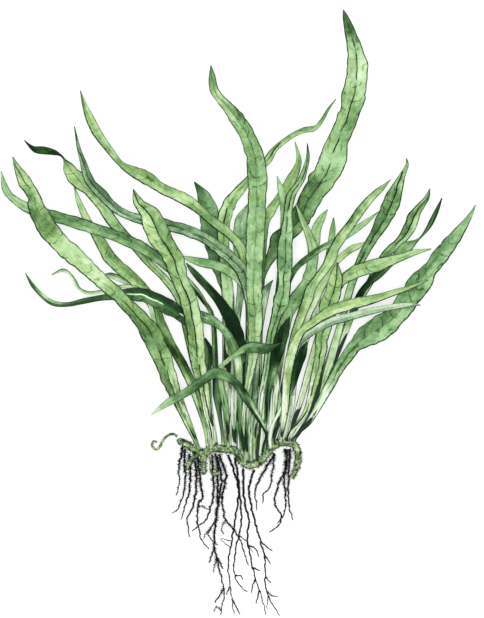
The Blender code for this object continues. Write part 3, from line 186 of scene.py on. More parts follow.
LEAVES = {
    # Left of the middle
    "leaf_left_broad": Leaf((-20.5, 55), (-20, 14), (1.1, 34), MID_GREEN, 7, (0.9, 0.7, 0.8),
    "44445435776444654", "55574445877356664", """
    -27 -51 15 5.2, -30.5 -43.5 19 5.5, -35 -31.5 26 8.5, -39 -19.5 31 10.5, -44 -9.5 35 11.5,
    -50 -1.5 38 10, -60 9 40 9.6, -69.5 17.5 41 9.8, -78.5 26 41 11.5, -87.6 34 40 12.4,
    -94.6 42.4 38 12.2, -100.3 52.5 35 8.6, -101.3 57.5 33.8 6.8, -106.3 65.5 31 8.2, -110.2 72.5 29 3.8,
    -112.5 78 28 0.5"""),
    "leaf_left_long": Leaf((-8, 0), (0, -12), (0.5, 30), MID_GREEN, 4, (0.6, 0.7, 0.2),
    "400006025555535667", "400111374434446667", """
    -8 -59.5 11.5 1.8, -9.3 -50.5 13.4 2.6, -10.6 -41 14.6 4.2, -11.2 -33 15.2 3.4, -12.5 -4 17 2.6,
    -17.5 6.5 21.5 3, -24 14.5 27 5, -35.5 23.5 31.5 6.5, -46 31.5 33 6.5, -59 37.5 34.5 6, -70 41.5 35 6,
    -81 45 34 6, -91 48 31 6, -104 52 28.5 5.5, -111.5 56.5 27 5, -116 61.5 26 4, -118.5 71 25 0.5"""),
    "leaf_left_twisted": Leaf((-11.5, 0), (0, 180), (0.7, 26), LIGHT_GREEN, 7, (0.9, 0.8, 0.3),
    "886644655556666401110", "887655665556467410100", """
    -12.5 -58.5 11 1.8, -17.3 -41 15 3.8, -21.5 -26 18 4.4, -24.8 -12.5 20 4, -26.8 -2.5 22 4.4,
    -29.5 7.5 24 5, -37.2 17.8 26.5 5, -44.6 25 27.5 5, -51.5 33.5 28 6, -61.4 44 28 6.8,
    -67.9 53.3 28.5 6.8, -73.6 60 29 7.2, -79 65.5 29.5 10, -83 71 29.5 8.5, -86.3 76 30 4,
    -88.3 78.6 30 1.4, -92 80.2 30 3, -97 81.2 29.8 4, -102 82 29.2 3.2, -107 86.5 28 0.5"""),
    "leaf_left_grey": Leaf((3.1, 15), (0, 16), (0.5, 32), GREY_GREEN, 2, (0.9, 0.5, 0.6),
    "5445755545546645554", "6565655454455434444", """
    4 -59.5 11.5 1.8, 4.6 -38.5 17.2 3.4, 6 -16 21 4, 6.5 1.5 25 5, 5 14 27 7, 1 22.5 28.5 8,
    -6.5 30 29 8, -16.5 37.3 29.5 6.4, -25 41 30 6, -34 43.6 31 5.7, -44 46 32.5 6, -54 48.4 34 4.7,
    -62 53 35 6, -69 60.5 36 7, -74 66 36.5 5.5, -77.4 76 37 3.2, -79.5 83 37 2, -81.5 93 36.5 0.5"""),
    "leaf_left_upper": Leaf((4.9, -35), (0, -14), (0.7, 28), MID_GREEN, 7, (0.9, 0.5, 0.1),
    "44655565547665555533", "56655566566544566664", """
    5.5 -60 9 1.8, 6 -38.5 12 3.8, 6.5 -13.5 15.5 3.7, 6 6.5 18.5 4, 4 24 21 5, 1 33 22 5.5, -5 40 23 6,
    -13 46 24 6, -21.5 53.5 24 6.5, -29 58 24 6.5, -38 62.2 24 6.2, -45 67 24 7.5, -54 71.5 23 5.5,
    -59 75 22 4, -64.6 82 21 4.8, -70.5 90 20 5.5, -74 97 19 5, -77 104.5 18 2.5, -79 111.5 17 0.5"""),
    "leaf_left_green": Leaf((-14.6, 0), (0, 10), (0.5, 30), MID_GREEN, 7, (0.8, 0.5, 0.1),
    "631621556655666", "644204345444665", """
    -16 -61 11 1.8, -18 -51.5 12 3.2, -22.5 -37.5 13.2 4.8, -28 -25.5 14.8 5.4, -33.5 -16 16.5 5.3,
    -38.5 -5 16 5, -42.5 4 16.5 6, -47 11.5 18 7, -53.5 18 19.5 8, -63 26.5 21 8, -70 37.5 22 6,
    -75 45.5 23 4.5, -79.5 55.5 23 3, -82 63.5 23 0.5"""),
    "leaf_left_thin_low": Leaf((-21.8, -35), (0, 8), (0.2, 24), LIGHT_GREEN, 5, (0.3, 1, 0),
    "7777788998", "7777777644", """
    -23.5 -57 7 1.8, -30 -40 6 3, -37 -18.5 4 3.6, -40 -2.5 2.8 3, -45 8.5 2.2 3.5, -50 13 1.8 3.5,
    -59 17 1.6 3.5, -64 19 2.2 3, -67 19.5 3 0.5"""),
    "leaf_left_dark_long": Leaf((-0.8, 10), (0, -10), (0.4, 30), DARK_GREEN, 4, (0.5, 0.5, -0.9),
    "30373442233231112212", "30363550111131226732", """
    1.2 -59.5 11 1.8, 0.9 -43.5 13.8 3, 0.2 -26 17.6 4.2, -2.5 -16 19 5.3, -8 -7.5 20 5, -16 -2.5 23.5 6,
    -26 -2 28.5 8, -33 2 29.5 8.5, -40 5.8 29 8.2, -46.5 8.7 28 7.2, -54 9.5 27 6, -61.5 8.5 26.5 4,
    -69 7.5 26 3, -77 6 26 3, -85 4.3 25 2.4, -92 4.8 24 2.9, -97 7.8 23 3.2, -102.5 13.5 22 2.5,
    -106.5 20 21 0.5"""),
    "leaf_left_thin_wavy": Leaf((-22.8, 12), (0, 20), (0.2, 22), LIGHT_GREEN, 5, (0.4, 0.9, 0),
    "7777789998889986", "7777778876555665", """
    -24.5 -57 10.8 1.8, -30.5 -41 12.3 2.7, -37 -24.5 14 3, -41 -8.5 17.5 2.4, -44 4.5 21 2.6,
    -48 10.8 22.4 2.4, -54 13.2 23.4 2, -60 13 25.5 1.8, -67 11.2 28.5 1.6, -74 10 30 1.8, -79 12 30.5 2,
    -81.8 16.5 30.5 2.2, -84.5 20 30 2, -88 21.3 29.5 1.8, -93 19 29 0.5"""),
    "leaf_front_left": Leaf((-13.2, 65), (-10, 12), (0.8, 30), LIGHT_GREEN, 7, (0.9, 0.7, 1),
    "7776545556775", "7665777654554", """
    -13.5 -60 13 2.2, -15.5 -48.5 17 4.8, -17 -38.5 22 5.4, -20 -23.5 30 8, -21.5 -8.5 37 8.5,
    -24.5 6.5 42 9, -29 17.5 45 9, -32.6 28.5 46 10.8, -38.6 37.5 46 13, -43.6 48.5 45 11.2,
    -49.5 55 43 6, -52 61.5 41 0.5"""),
    "leaf_back_dark": Leaf((-4, -50), (0, 0), (0.5, 30), DARK_GREEN, 3, (0.4, 0.4, 0),
    "64855324331", "73752234431", """
    -3.8 -60 7.5 1.8, -3.5 -38.5 4.5 3.8, -3.5 -11 2.5 3.9, -5 9 1.6 6, -9.5 25.5 1.4 9, -13 36.5 1.4 9,
    -14 45.5 1.6 10, -15.5 54 2.4 9.5, -18 60 3.4 6.5, -22 66 4.6 0.8"""),
    # The middle of the bunch
    "leaf_arching_back": Leaf((-6, -30), (0, 20), (0.4, 28), MID_GREEN, 7, (0.9, 0.5, 0.9),
    "65667567666655545433", "65857655656666666543", """
    -6 -60 8.6 1.8, -6.4 -38.5 10.5 3.2, -6.2 -13.5 9.8 3.4, -5.2 9.5 10.5 6, -7 31.5 13 5.5,
    -7 45.5 15.5 7, -4 55 16.5 7.2, 0.7 61.3 18 6.6, 5.6 67 19 5.2, 10 72 20 5, 14.5 76 21 5,
    18 81.5 22 4, 22.5 85.5 22.5 3.5, 27.5 89 23 3, 33 91.5 23 3, 38.5 92.5 23 3, 42 96.5 23 2.3,
    45.5 102.5 23 1.5, 49 107 23 0.5"""),
    "leaf_middle_back": Leaf((-2.3, -8), (0, 0), (0.4, 26), MID_GREEN, 2, (0.4, 0.4, 0.3),
    "778546555555", "665665566565", """
    -2.2 -60 9.6 1.8, -2.6 -38.5 9.5 2.6, -1.6 -18 8 3, -0.4 -4 8 3.3, 0.6 5 9 3.6, 1.8 14 10.5 4.5,
    2 25.5 11.5 6, 1 34 13 7, 1 40.5 15 7, 2 47.5 16.5 6, 5 54.5 18 1"""),
    "leaf_middle_pale": Leaf((1.8, -40), (0, 10), (0.3, 26), LIGHT_GREEN, 4, (0.6, 0.5, 0),
    "676776665667", "666666565567", """
    2.4 -60 7.2 1.8, 4.8 -38.5 5.4 3, 5.5 -13.5 7.5 3.7, 5.6 4 12.5 4, 4.6 10 16.4 4.6, 1.5 15.5 19 5,
    -4 20.5 20.5 5.5, -11.5 24 21 5, -19 25.5 21 4.5, -24 27 21 3, -29 28.5 21 0.5"""),
    # Painted shade: these three inner leaves are painted dark green to black where they show, standing for
    # the shade seen between the front leaves
    "leaf_inner_darkest": Leaf((-1.5, -58), (0, -10), (0.3, 26), DARK_GREEN, 4, (0.3, 0.3, 0),
    "31220001123", "44620000223", """
    -0.6 -60.5 7.4 1.8, 1 -41 9 3.4, 2 -23.5 12 5.4, -0.2 -12.5 14 7.2, -3.5 -3.5 15.2 7.5, -8 4 15.6 6.4,
    -13.5 11 15.8 5.4, -19 17 15.8 5, -23 21.5 15.6 3.6, -26 25 15 1"""),
    "leaf_inner_left": Leaf((-11, -35), (0, 0), (0.2, 20), DARK_GREEN, 4, (0.3, 0.3, 0),
    "776432", "864100", """
    -12 -58 8.7 1.8, -14.5 -43.5 9.5 3, -15.5 -28 11 4.5, -14.8 -19.5 12 5.2, -16.5 -12.5 12.5 0.7"""),
    "leaf_inner_right": Leaf((14.1, -42), (0, 0), (0.2, 20), DARK_GREEN, 4, (0.3, 0.3, 0),
    "54100300012", "66400602112", """
    14.6 -60 8.8 1.7, 14.8 -54 10.8 1.8, 15 -48 13.2 2.4, 15.3 -40 15.5 3.2, 17.3 -30 18.5 3.8,
    19.5 -23.5 20.5 4.4, 21.6 -16 22.8 4.8, 22.8 -10 24.4 5.6, 24.3 -5.5 25.2 3.6, 25.8 -2 25.6 0.6"""),
    "leaf_centre_front": Leaf((2.4, 62), (-8, 10), (0.7, 32), LIGHT_GREEN, 6, (0.7, 0.7, 0.4),
    "557655654566642", "677865655547552", """
    2.5 -59 14 1.8, 4 -41 21 2.8, 7.5 -21 30 5.4, 8.5 -3.5 37 7.5, 8 11.5 41 8, 8.5 34 44 9, 9.5 54 45 9,
    9.5 71.5 44 9.5, 6 85.5 42 8.5, -1 97.5 39 8.5, -10.2 108.5 35 5.6, -12.3 113 34 4.4,
    -12.9 118 33 3.4, -13.5 123.5 31 0.5"""),
    "leaf_front_arching": Leaf((14.3, 60), (0, 12), (0.3, 26), DARK_GREEN, 4, (0.6, 0.3, 0.1),
    "200103153234678", "567650253344678", """
    14.3 -61 14 1.8, 12 -55.5 20 2.8, 8.5 -49.5 28 3.8, 5.5 -44.5 36 4.8, 2 -39 42 5.2, -1.5 -34.5 46 5.4,
    -6.5 -31 49 5.4, -12 -30 50 5.4, -17.5 -33.5 50 5.4, -23 -37.5 49 5.4, -28.5 -41 47 4.8,
    -34 -44 44 4.5, -39 -47.5 41 3, -43 -50.5 39 0.9"""),
    "leaf_front_small": Leaf((-5, 55), (0, 0), (0.2, 24), MID_GREEN, 4, (0.7, 0.5, 0),
    "543466454322", "655566633211", """
    -5 -59 14 1.8, -6.5 -46 21 3.4, -8.5 -35 29 3, -8.5 -27.5 36 3, -5 -23.5 41 3.3, 0 -19.5 45 3.7,
    4 -17.5 46 4.9, 8 -17 46 5.4, 12 -17.5 46 5.4, 15.5 -17.5 45 4.2, 21 -15 43 0.6"""),
    "leaf_middle_grey": Leaf((7.2, 20), (0, 0), (0.2, 24), GREY_GREEN, 1, (0.5, 0.6, 0.2),
    "55156733", "56386733", """
    6.9 -60 10.5 1.8, 8.4 -38.5 15 3.2, 9.7 -16 19.4 3.8, 11.5 -1 24 4.3, 13 8 26 4.8, 15 13 27 3.5,
    17.5 16.5 27 0.5"""),
    # Right of the middle
    "leaf_right_tallest": Leaf((10.2, -62), (0, -8), (0.9, 38), MID_GREEN, 6, (0.8, 0.8, 0.8),
    "55554333333476556767322", "55555544444566447887322", """
    9.4 -60 6.5 1.8, 9.5 -43.5 5.5 3.8, 9.8 -18.5 5 5, 10 4 4.5 4.5, 11.2 18 4 5.2, 16.2 27.5 3.5 6,
    19.2 32.5 3.4 9.5, 22.3 37.5 3.2 12.4, 30.3 46.5 3 11.8, 36.5 58 2.6 12.5, 41.5 66 2.2 14.8,
    46.3 74 2 14.6, 50 86 1.8 12, 54 95.5 1.8 11, 56.5 102.5 2 10.5, 58 109.5 2.4 12, 59.5 117.5 3 11,
    60 125.5 4 10.5, 58.5 133.5 5 7.5, 56 142.5 6.5 5.5, 54 149 7.5 3, 53 152.5 8 0.5"""),
    "leaf_right_inner": Leaf((8.9, -22), (0, 12), (0.4, 28), MID_GREEN, 7, (0.6, 0.5, 0.1),
    "66773356565555", "66773357665455", """
    8.2 -60 9 1.8, 9.5 -41 10.5 3.3, 10.5 -13.5 12 3.7, 11.5 11.5 14 3.5, 12 31.5 16.5 4.5,
    13 44.5 18 5.5, 16 50.5 18 6, 19.5 56 18 4.8, 23.5 61.5 18 6, 27 67 18 6, 29.5 72.5 18 4,
    30.5 77.5 18 2.5, 28.5 86 18 0.5"""),
    "leaf_right_small": Leaf((12.4, 20), (0, 0), (0.3, 24), LIGHT_GREEN, 5, (0.5, 0.4, 0),
    "66761566665", "66865666665", """
    12.2 -60 11.5 1.8, 12.4 -41 17.5 2.4, 15.3 -16 23.5 3.3, 19.5 6.5 27 3, 22 29 29.5 3.5, 23 44 30 3.8,
    23 51.5 30 3.8, 22 58.5 30 3.5, 21 63 30 3, 19.5 68.5 30 0.5"""),
    "leaf_right_front": Leaf((10.4, 62), (0, 10), (0.7, 26), LIGHT_GREEN, 5, (1, 0.8, 0.7),
    "657665555555455651", "668565555556666651", """
    10.5 -60 14 1.8, 11.5 -42.5 21 3, 14 -28.5 28 3.3, 15 -19.5 32 3.3, 16.2 -12.5 36 4.5,
    18.8 -2.5 39 5.4, 21.5 5.5 41 8, 23 14 42 6.5, 23.3 25.5 43 8, 23.5 34 43 7, 24.5 42.5 43 6,
    25 51 43 4.5, 26.5 58.5 42 5, 31 65.5 41 4, 33 70.5 40 3, 34.8 77.5 39 2, 34.5 84.5 38 0.5"""),
    "leaf_right_pale": Leaf((16.8, 5), (0, 8), (0.5, 26), LIGHT_GREEN, 6, (0.6, 0.5, 0.2),
    "8761655666677", "8776556656556", """
    17.4 -60 11 1.8, 18.9 -41 13.6 3.3, 21 -18.5 18 5.4, 24.5 -1 21 7, 29.5 7.5 22.5 8.5, 34 14 23 7,
    36.5 20.5 23 6, 37.5 27.5 23 5.5, 37 34 23 4.8, 35 40 22.5 4, 32.5 46 22 3, 29 54.5 21 0.5"""),
    "leaf_right_pale_small": Leaf((18.6, -20), (0, 0), (0.3, 24), LIGHT_GREEN, 5, (0.5, 0.5, 0.2),
    "7766666664", "7656666664", """
    18.8 -60 9 1.8, 22.5 -38.5 9.2 3, 28 -13.5 11.2 3.7, 34 9 14 4, 37.5 25.5 15.5 4.5, 38.5 35 16 5,
    39.5 42.5 16 5, 42 47.5 16 4.3, 45 52 16 0.5"""),
    "leaf_right_back_small": Leaf((20.6, -50), (0, 0), (0.2, 24), GREY_GREEN, 5, (0.5, 0.5, 0),
    "87899554", "87999554", """
    21.5 -59.5 7.6 1.8, 28 -36 8 3, 36 -8.5 10 2.6, 42 14 10.5 3, 46 31.5 11 3.2, 47.5 41.5 11.5 3,
    48 48 12.5 0.5"""),
    "leaf_right_narrow": Leaf((11.9, -20), (0, 8), (0.4, 26), MID_GREEN, 4, (0.6, 0.4, 0.1),
    "4311422225665", "4321423356665", """
    11.8 -60 8.4 1.8, 15.2 -41 10.2 3, 18.5 -16 15.5 3.3, 22 4 19.5 3, 25.5 16.5 24.5 3.5, 29.5 23 28 4,
    35.5 28 30 4, 42 32.5 30.5 3.5, 49.5 36 31 3.8, 57 40.5 31 4, 64 45.5 30.5 3.2, 70 50.5 30 0.5"""),
    "leaf_right_pale_low": Leaf((22.8, -10), (0, 8), (0.4, 26), LIGHT_GREEN, 8, (0.4, 0.6, 0.1),
    "777778776666", "777899676676", """
    23 -60 9.8 1.8, 25 -41 11.5 3, 29.5 -18.5 15.6 4, 34 -2.5 19.5 5, 38 7 22 6, 41 12.5 23 6, 45 20 24 5,
    50 26.5 24 4.5, 56 31.5 23.5 4, 60 33.5 23 3.3, 64 35.5 22.5 0.5"""),
    "leaf_right_curved": Leaf((18.6, 48), (0, 14), (0.6, 30), MID_GREEN, 7, (1, 0.6, 0.1),
    "776635555555545565", "775666766765666664", """
    19 -60 12.5 1.8, 22.5 -48.5 16.5 3, 25 -36 21.5 3.2, 26 -22 27 3.8, 28.3 -10.5 31.5 4.2,
    31.5 -1.5 34.5 5, 34.5 6.5 36 5.5, 36.5 12.5 37 5.8, 41 19 38 5.5, 45.5 25.5 39 6, 48 32 39 5.3,
    52 38.5 39 6.3, 56.8 45 38.5 5.6, 62.2 52.5 37.5 5.6, 67.5 58.5 36 5, 72 62.5 35 3.5,
    76 66.5 34 0.5"""),
    "leaf_right_upper": Leaf((26.2, 8), (0, 12), (0.7, 30), MID_GREEN, 6, (0.7, 0.8, 1),
    "996877664434445554", "996699655555546554", """
    30 -58 11.8 1.8, 38 -43.5 14 3.8, 45 -27.5 15.5 4.9, 49.5 -12.5 18 4.2, 52 -3.5 20 3.8, 55 8 23 4,
    57.5 16.5 25 4.2, 61 25.5 26.5 4.8, 64.5 32.5 27.5 5.5, 69 40 28 6.8, 73 47 28 8.8, 76 53 28 9,
    78 58.5 28 8, 80 63.5 28 6, 82 68.5 27.5 3.5, 84.5 74 27 1.8, 84 77.5 27 0.5"""),
    "leaf_right_two_tone": Leaf((26.6, -40), (0, 0), (0.7, 28), LIGHT_GREEN, 6, (0.8, 0.7, 1),
    "66688155544564", "66689756777533", """
    30.6 -59.4 5.6 1.8, 36.5 -48 4.4 3, 45 -28 3.2 3.8, 54 -8 2.2 3, 64.5 12 1.6 4, 74.5 29 1.8 6,
    79.3 34 2.2 6, 83.5 38.5 3 6.5, 87 44.5 4 6.8, 89.2 50 5 6.2, 92.5 54.5 6.5 4.6, 95 58 8 3,
    96.5 62.5 9 0.5"""),
    "leaf_right_twisted": Leaf((27.8, 0), (0, 150), (0.5, 26), DARK_GREEN, 6, (0.6, 0.7, 0.1),
    "8988800125430000", "8988901234543320", """
    32 -58.6 9.6 1.8, 40 -44.5 9.8 3, 46.5 -27.5 11.5 3.8, 54 -9.5 14.5 3.2, 60 7 18 3.8, 65 14.5 20 4.2,
    71 19.5 21 4.5, 76.5 24.5 22 3.5, 81 30.5 22.5 5.5, 86.5 34 23 5.5, 91.5 38 23.5 3, 95 42.5 24 3.2,
    97.7 47.5 24 2.8, 100 52.5 24 2, 102 57.5 24 0.5"""),
    "leaf_right_pale_crossing": Leaf((24.6, 0), (0, 12), (0.5, 30), LIGHT_GREEN, 7, (0.7, 0.7, 0.2),
    "99996555566776", "99989666666676", """
    26.2 -59 10 1.8, 30 -48.5 13.5 3, 35 -31 20 3.8, 40 -13.5 25 4.3, 45 1.5 29 5, 50 14 31.5 6.5,
    56 19 32.5 6.8, 63 22 33 7, 70 24 33 6.8, 76 26 32.5 5.5, 82 28 32 4, 88.5 30.3 31.5 3,
    96.5 32 31 0.5"""),
    "leaf_right_front_broad": Leaf((24.8, 62), (0, 8), (0.6, 26), LIGHT_GREEN, 7, (0.7, 0.8, 0.8),
    "544866555656766", "568544666755555", """
    26.2 -60 14 1.8, 29.5 -56 16 3, 34 -49.5 19.5 3.3, 36.5 -41.5 23 3.8, 38.5 -33.5 27 5.2,
    40 -26 30 5.4, 41.5 -18.5 32 6, 42 -11.5 34 6.5, 43.5 -4.5 35.5 8, 45.5 4.5 37 9.5,
    47.5 10.5 37.5 8.3, 48.5 15.5 37 7.5, 49 20.5 36 5, 49.5 25 34.5 0.6"""),
    "leaf_right_olive": Leaf((21.4, 72), (0, 10), (0.5, 30), MID_GREEN, 8, (0.6, 0.9, 0.1),
    "888667555655555", "887586567766665", """
    22 -60.5 14.5 1.8, 23.5 -48.5 23 3.8, 24.5 -33.5 32 4.5, 26.5 -21 39 5.2, 31 -10 44 4.9, 37 -5 46 5.2,
    43.5 -0.5 47 6, 50 2.5 47 6, 57 4.5 46.5 5.5, 64 6 45.5 5, 71 8 44 4, 78.5 10.5 42.5 3.2, 86 13 41 2,
    94.5 16.5 40 0.5"""),
    "leaf_right_grey": Leaf((23, 22), (0, 8), (0.3, 30), GREY_GREEN, 1, (0.2, 0.7, 0.1),
    "995998888878886", "885898555566774", """
    24.2 -59.5 11.4 1.8, 27 -46 15.5 2.8, 28 -32.5 18.5 3.2, 28.3 -22 22.5 3.4, 30 -15.5 26.5 3.8,
    34 -11.5 33.5 4.6, 40 -7.5 39 4.5, 47.5 -4 41.5 4.2, 55 -2 41.5 4, 62.5 0 41 3.8, 70 1.8 40 3.3,
    77 3 39 3, 84 4 38 2.3, 91 4 37 0.5"""),
    "leaf_right_large": Leaf((26.4, 48), (0, -12), (0.9, 36), MID_GREEN, 5, (0.6, 1, 0.6),
    "78887655544454444555", "74457755556665565565", """
    30.2 -60.5 12.6 1.8, 35 -55.5 14 3.4, 38.5 -50 16 3.8, 41.5 -44.5 18 4.5, 45 -38 20 5.4,
    50 -28.5 22.5 6, 54 -22.5 24.5 7.6, 58 -17 26.5 9, 63.4 -12.2 28 12.4, 70 -8 29 14.6, 77 -2.8 30 14.5,
    81.5 2 30.8 13, 85.5 8 31.4 13, 91 15.5 31.8 14, 96 22.2 32 9.2, 102 30 32 10.8, 109.5 39.5 32 7.2,
    115.5 48 31.6 3, 118.5 54 31 0.5"""),
    # Painted shade: this leaf is painted black over its upper part, standing for the shade among the
    # stalks
    "leaf_right_dark_back": Leaf((16.6, 76), (0, 0), (0.2, 20), DARK_GREEN, 4, (0.4, 0.4, 0),
    "88761000001", "88653000013", """
    16.4 -60.6 14.6 1.8, 18.6 -54 17.4 2, 22.6 -46.5 21 2.4, 26.3 -39 24 2.6, 28.2 -32.5 26.5 3.9,
    29.1 -28.4 28 4.8, 30.3 -24.9 29 5, 31.8 -21.3 30.4 4.8, 33 -17.7 32 3.8, 34.6 -14.3 33.6 0.6"""),
}

# Turn of the blade, in degrees, at shares of the way from foot to tip, for leaves that twist over
TWISTS = {
    "leaf_left_twisted": [(0, 0), (0.8, -8), (0.87, 70), (0.92, 165), (1, 180)],
    "leaf_right_twisted": [(0, 0), (0.62, 10), (0.78, 40), (0.87, 110), (1, 160)],
}

# How far a midrib shows, from 0 for none to 9, at the leaf's foot and each point of its route
RIBS = {
    "leaf_left_broad": "00999995000037774",
    "leaf_right_tallest": "00000000067899998999600",
    "leaf_arching_back": "00000488800489840000",
    "leaf_front_left": "0999999999999",
    "leaf_right_upper": "000000009999999960",
    "leaf_right_large": "00000378876530000000",
}
EVEN_RIB = "9"

# Lines of the rhizome: x, y and radius. The plant creeps, so it dips and rises from left to right
RHIZOME_MAIN = [
    (-17, -81, 0.9), (-17.5, -76, 1.5), (-17, -71.8, 1.8), (-15, -69, 1.9), (-12, -68, 1.9),
    (-7, -68.5, 1.9), (-3.5, -68.5, 1.9), (-1, -69.5, 1.9), (0.5, -72, 1.9), (2.5, -75, 1.9),
    (6, -76.5, 1.9), (9.5, -75.5, 1.9), (12.5, -73, 1.9), (15, -69.8, 1.9), (17.5, -67, 1.9),
    (21, -65.2, 1.9), (25, -65, 1.9), (28, -66, 1.8), (29.8, -69, 1.7), (30.2, -73.5, 1.6),
    (29.2, -78.5, 1.4), (27, -83, 0.9)]
RHIZOME_LEFT = [
    (-30.5, -64.5, 1), (-29, -64.4, 1.5), (-26, -65.8, 1.7), (-23, -67.8, 1.8), (-20, -69.5, 1.8),
    (-17.2, -71.2, 1.7)]
RHIZOME_SHORT_TIP = [
    (-19.5, -70, 1.3), (-21.5, -71.8, 1.3), (-23.5, -74.2, 1.2), (-25, -76.5, 1.1), (-25.6, -79, 0.7)]

# Curled young fronds: x, y, z and radius, from the rhizome to the tip
FRONDS = {
    "young_frond_left": """
    -30.8 -62.2 9.2 0.6, -31.5 -61.2 9.6 0.6, -33.5 -60.8 10.6 0.6, -36 -62 12 0.6, -38 -64.5 13 0.6,
    -39.5 -67.5 13.5 0.6, -41.5 -68.4 13.6 0.6, -43.2 -66.5 13.6 0.6, -42.5 -64.3 13.8 0.55,
    -40.8 -64.8 14.4 0.45""",
    "young_frond_middle": """
    -13.8 -71.9 9.6 0.6, -13.7 -75 10.5 0.6, -13.5 -79.5 11.2 0.6, -12 -81.6 11.4 0.6,
    -10.4 -80.4 11.4 0.55, -11 -78.4 11.6 0.5, -12 -78.8 12.4 0.4""",
}

# Roots: x, y and z from the rhizome's underside to the tip. They come to lie on the table
ROOTS = {
    "root_01": "-28 -67.2 8, -28.5 -72 5, -30 -78 1.5, -29.5 -84 0.7, -31 -92 0.7",
    "root_02": "-26.6 -68.4 7.5, -27 -76 3.5, -26.5 -83 1.4, -27.5 -91 1, -30 -98 0.7, -33 -101 0.7",
    "root_03": "-24.6 -70.8 6.6, -24 -83 2.8, -25 -92 1.8, -27 -98 1.6, -28.5 -104 1.2",
    "root_04": "-21.5 -74.5 7, -21 -86 3.4, -22.5 -97 1.4, -25.5 -103.5 0.7, -24.5 -113 0.7",
    "root_05": """
    -20.2 -72.6 6.6, -19 -84 5, -18 -93 3, -20 -96 2.2, -20.5 -101 1.4, -20 -108 0.8, -18 -115 0.7,
    -14.5 -119 0.7""",
    "root_06": "-13.2 -71.2 8, -12.5 -84 5, -12.5 -92 3.4, -15.5 -103 2, -19.5 -107 2.4, -23.5 -110 2.4",
    "root_07": "-11.5 -70.8 7.6, -8.5 -81 4, -9 -90 2.2, -11.5 -104 0.8, -15 -112 0.7, -10 -117 0.7",
    "root_08": """
    -9.5 -71.2 8, -6 -82 5.4, -8 -92.5 4, -6.5 -103.5 2.4, -1.5 -110 1, 2 -117 0.7, 5 -127.5 0.7""",
    "root_09": """
    -5 -71.4 7.4, -1 -83 4, 1.2 -95 2.4, 1.5 -107 2.6, -1 -118 2.4, -2 -131 1.6, 1.5 -138 0.8,
    4.5 -140.5 0.7""",
    "root_10": """
    -1.6 -72.6 7.6, 0.5 -88 6, -1 -101 5, -3.5 -117 2.4, -5 -127 0.8, -3.5 -141 0.7, -2 -152 0.7""",
    "root_11": """
    2.6 -78.2 8, 3 -93 4.6, 5.5 -105 3, 4.6 -113 2.6, 6.5 -124 2.4, 8.5 -133 1.6, 12 -143.5 1,
    14 -152 0.7""",
    "root_12": """
    8.2 -78.9 7.6, 5.5 -88.5 6.4, 7.5 -101 4.4, 11 -114 2.6, 13.5 -124 0.8, 14 -138.5 0.9, 17.5 -147 1.6,
    21 -152.5 2.2""",
    "root_13": """
    -10.5 -72.2 9.8, -10.3 -95 6.6, -12 -113 3.4, -11.5 -120 2, -9 -131 0.7, -7 -141 0.7, -9 -152 0.7""",
    "root_14": "18.6 -70.6 8, 14 -78 7, 10 -85.5 4.4, 8.6 -90 2, 9.5 -99.5 1.4",
    "root_15": """
    23.5 -68.2 8, 24.5 -77 6, 20.5 -86 3, 18.5 -96 1.2, 22 -102.5 0.7, 19.5 -108 0.7, 15.5 -110.5 0.7""",
    "root_16": "26.2 -68.4 7.4, 25.5 -82 2.6, 25.5 -95 1, 27.5 -104.5 0.7",
    "root_17": "24.9 -68.4 9.6, 23.8 -78 9.2, 23.2 -84 7.4, 24 -95 3.8, 22.8 -102 2.6, 19.6 -106 2.4",
}

# Side rootlets of a root: x and y from the root to each rootlet's tip
ROOTLETS = {
    "root_09": ["-1 -132, 1.5 -132.5, 2.5 -134.5"],
    "root_10": ["-4 -138, -6 -142", "-2.6 -144, 1 -152"],
    "root_11": ["5.6 -117, 8.5 -118.5, 10.5 -123", "7.5 -128.5, 11 -130", "8.5 -134, 6.5 -141",
                "10.5 -139.5, 9 -146.5"],
    "root_12": ["11.5 -115, 14.5 -118, 17.5 -120", "13 -121.5, 16.5 -126.5", "13.6 -133, 16.5 -136",
                "14.5 -139.5, 17 -142.5, 20 -142.8"],
    "root_13": ["-11.8 -118, -13 -122, -15 -126", "-11 -122, -7.5 -129", "-7.4 -139, -11.5 -146"],
    "root_14": ["18.6 -72, 17.4 -79, 16 -87.5, 12.8 -91.5, 12.4 -96"],
}

# Finer rootlets, not in the solid model
FINE_ROOTLETS = {
    "root_05": ["-19.5 -97, -17 -98, -14 -99.5"],
    "root_07": ["-13 -108, -16 -111, -17.5 -114"],
    "root_08": ["-6.5 -104, -8 -108, -7.5 -112"],
    "root_09": ["0.8 -112, 4 -115, 7.5 -121"],
    "root_10": ["-3.2 -115, -7 -114, -9 -113.4", "-3.6 -118, -6 -116.5, -9 -114"],
    "root_12": ["14.6 -142, 14.8 -149.5"],
    "root_13": ["-11.6 -124, -12 -128, -12.3 -131", "-8.6 -150, -11 -148, -12 -151"],
}


def points_of(text):
    """The points of a table: numbers parted by spaces, points by commas."""
    return [tuple(float(number) for number in point.split()) for point in text.split(",")]


def between(before, start, end, after, share):
    """A point on the smooth curve that runs through start and end, with before and after beside them."""
    square = share * share
    cube = square * share
    return tuple(
        0.5 * (2 * b + (c - a) * share + (2 * a - 5 * b + 4 * c - d) * square
               + (3 * b - a - 3 * c + d) * cube)
        for a, b, c, d in zip(before, start, end, after)
    )


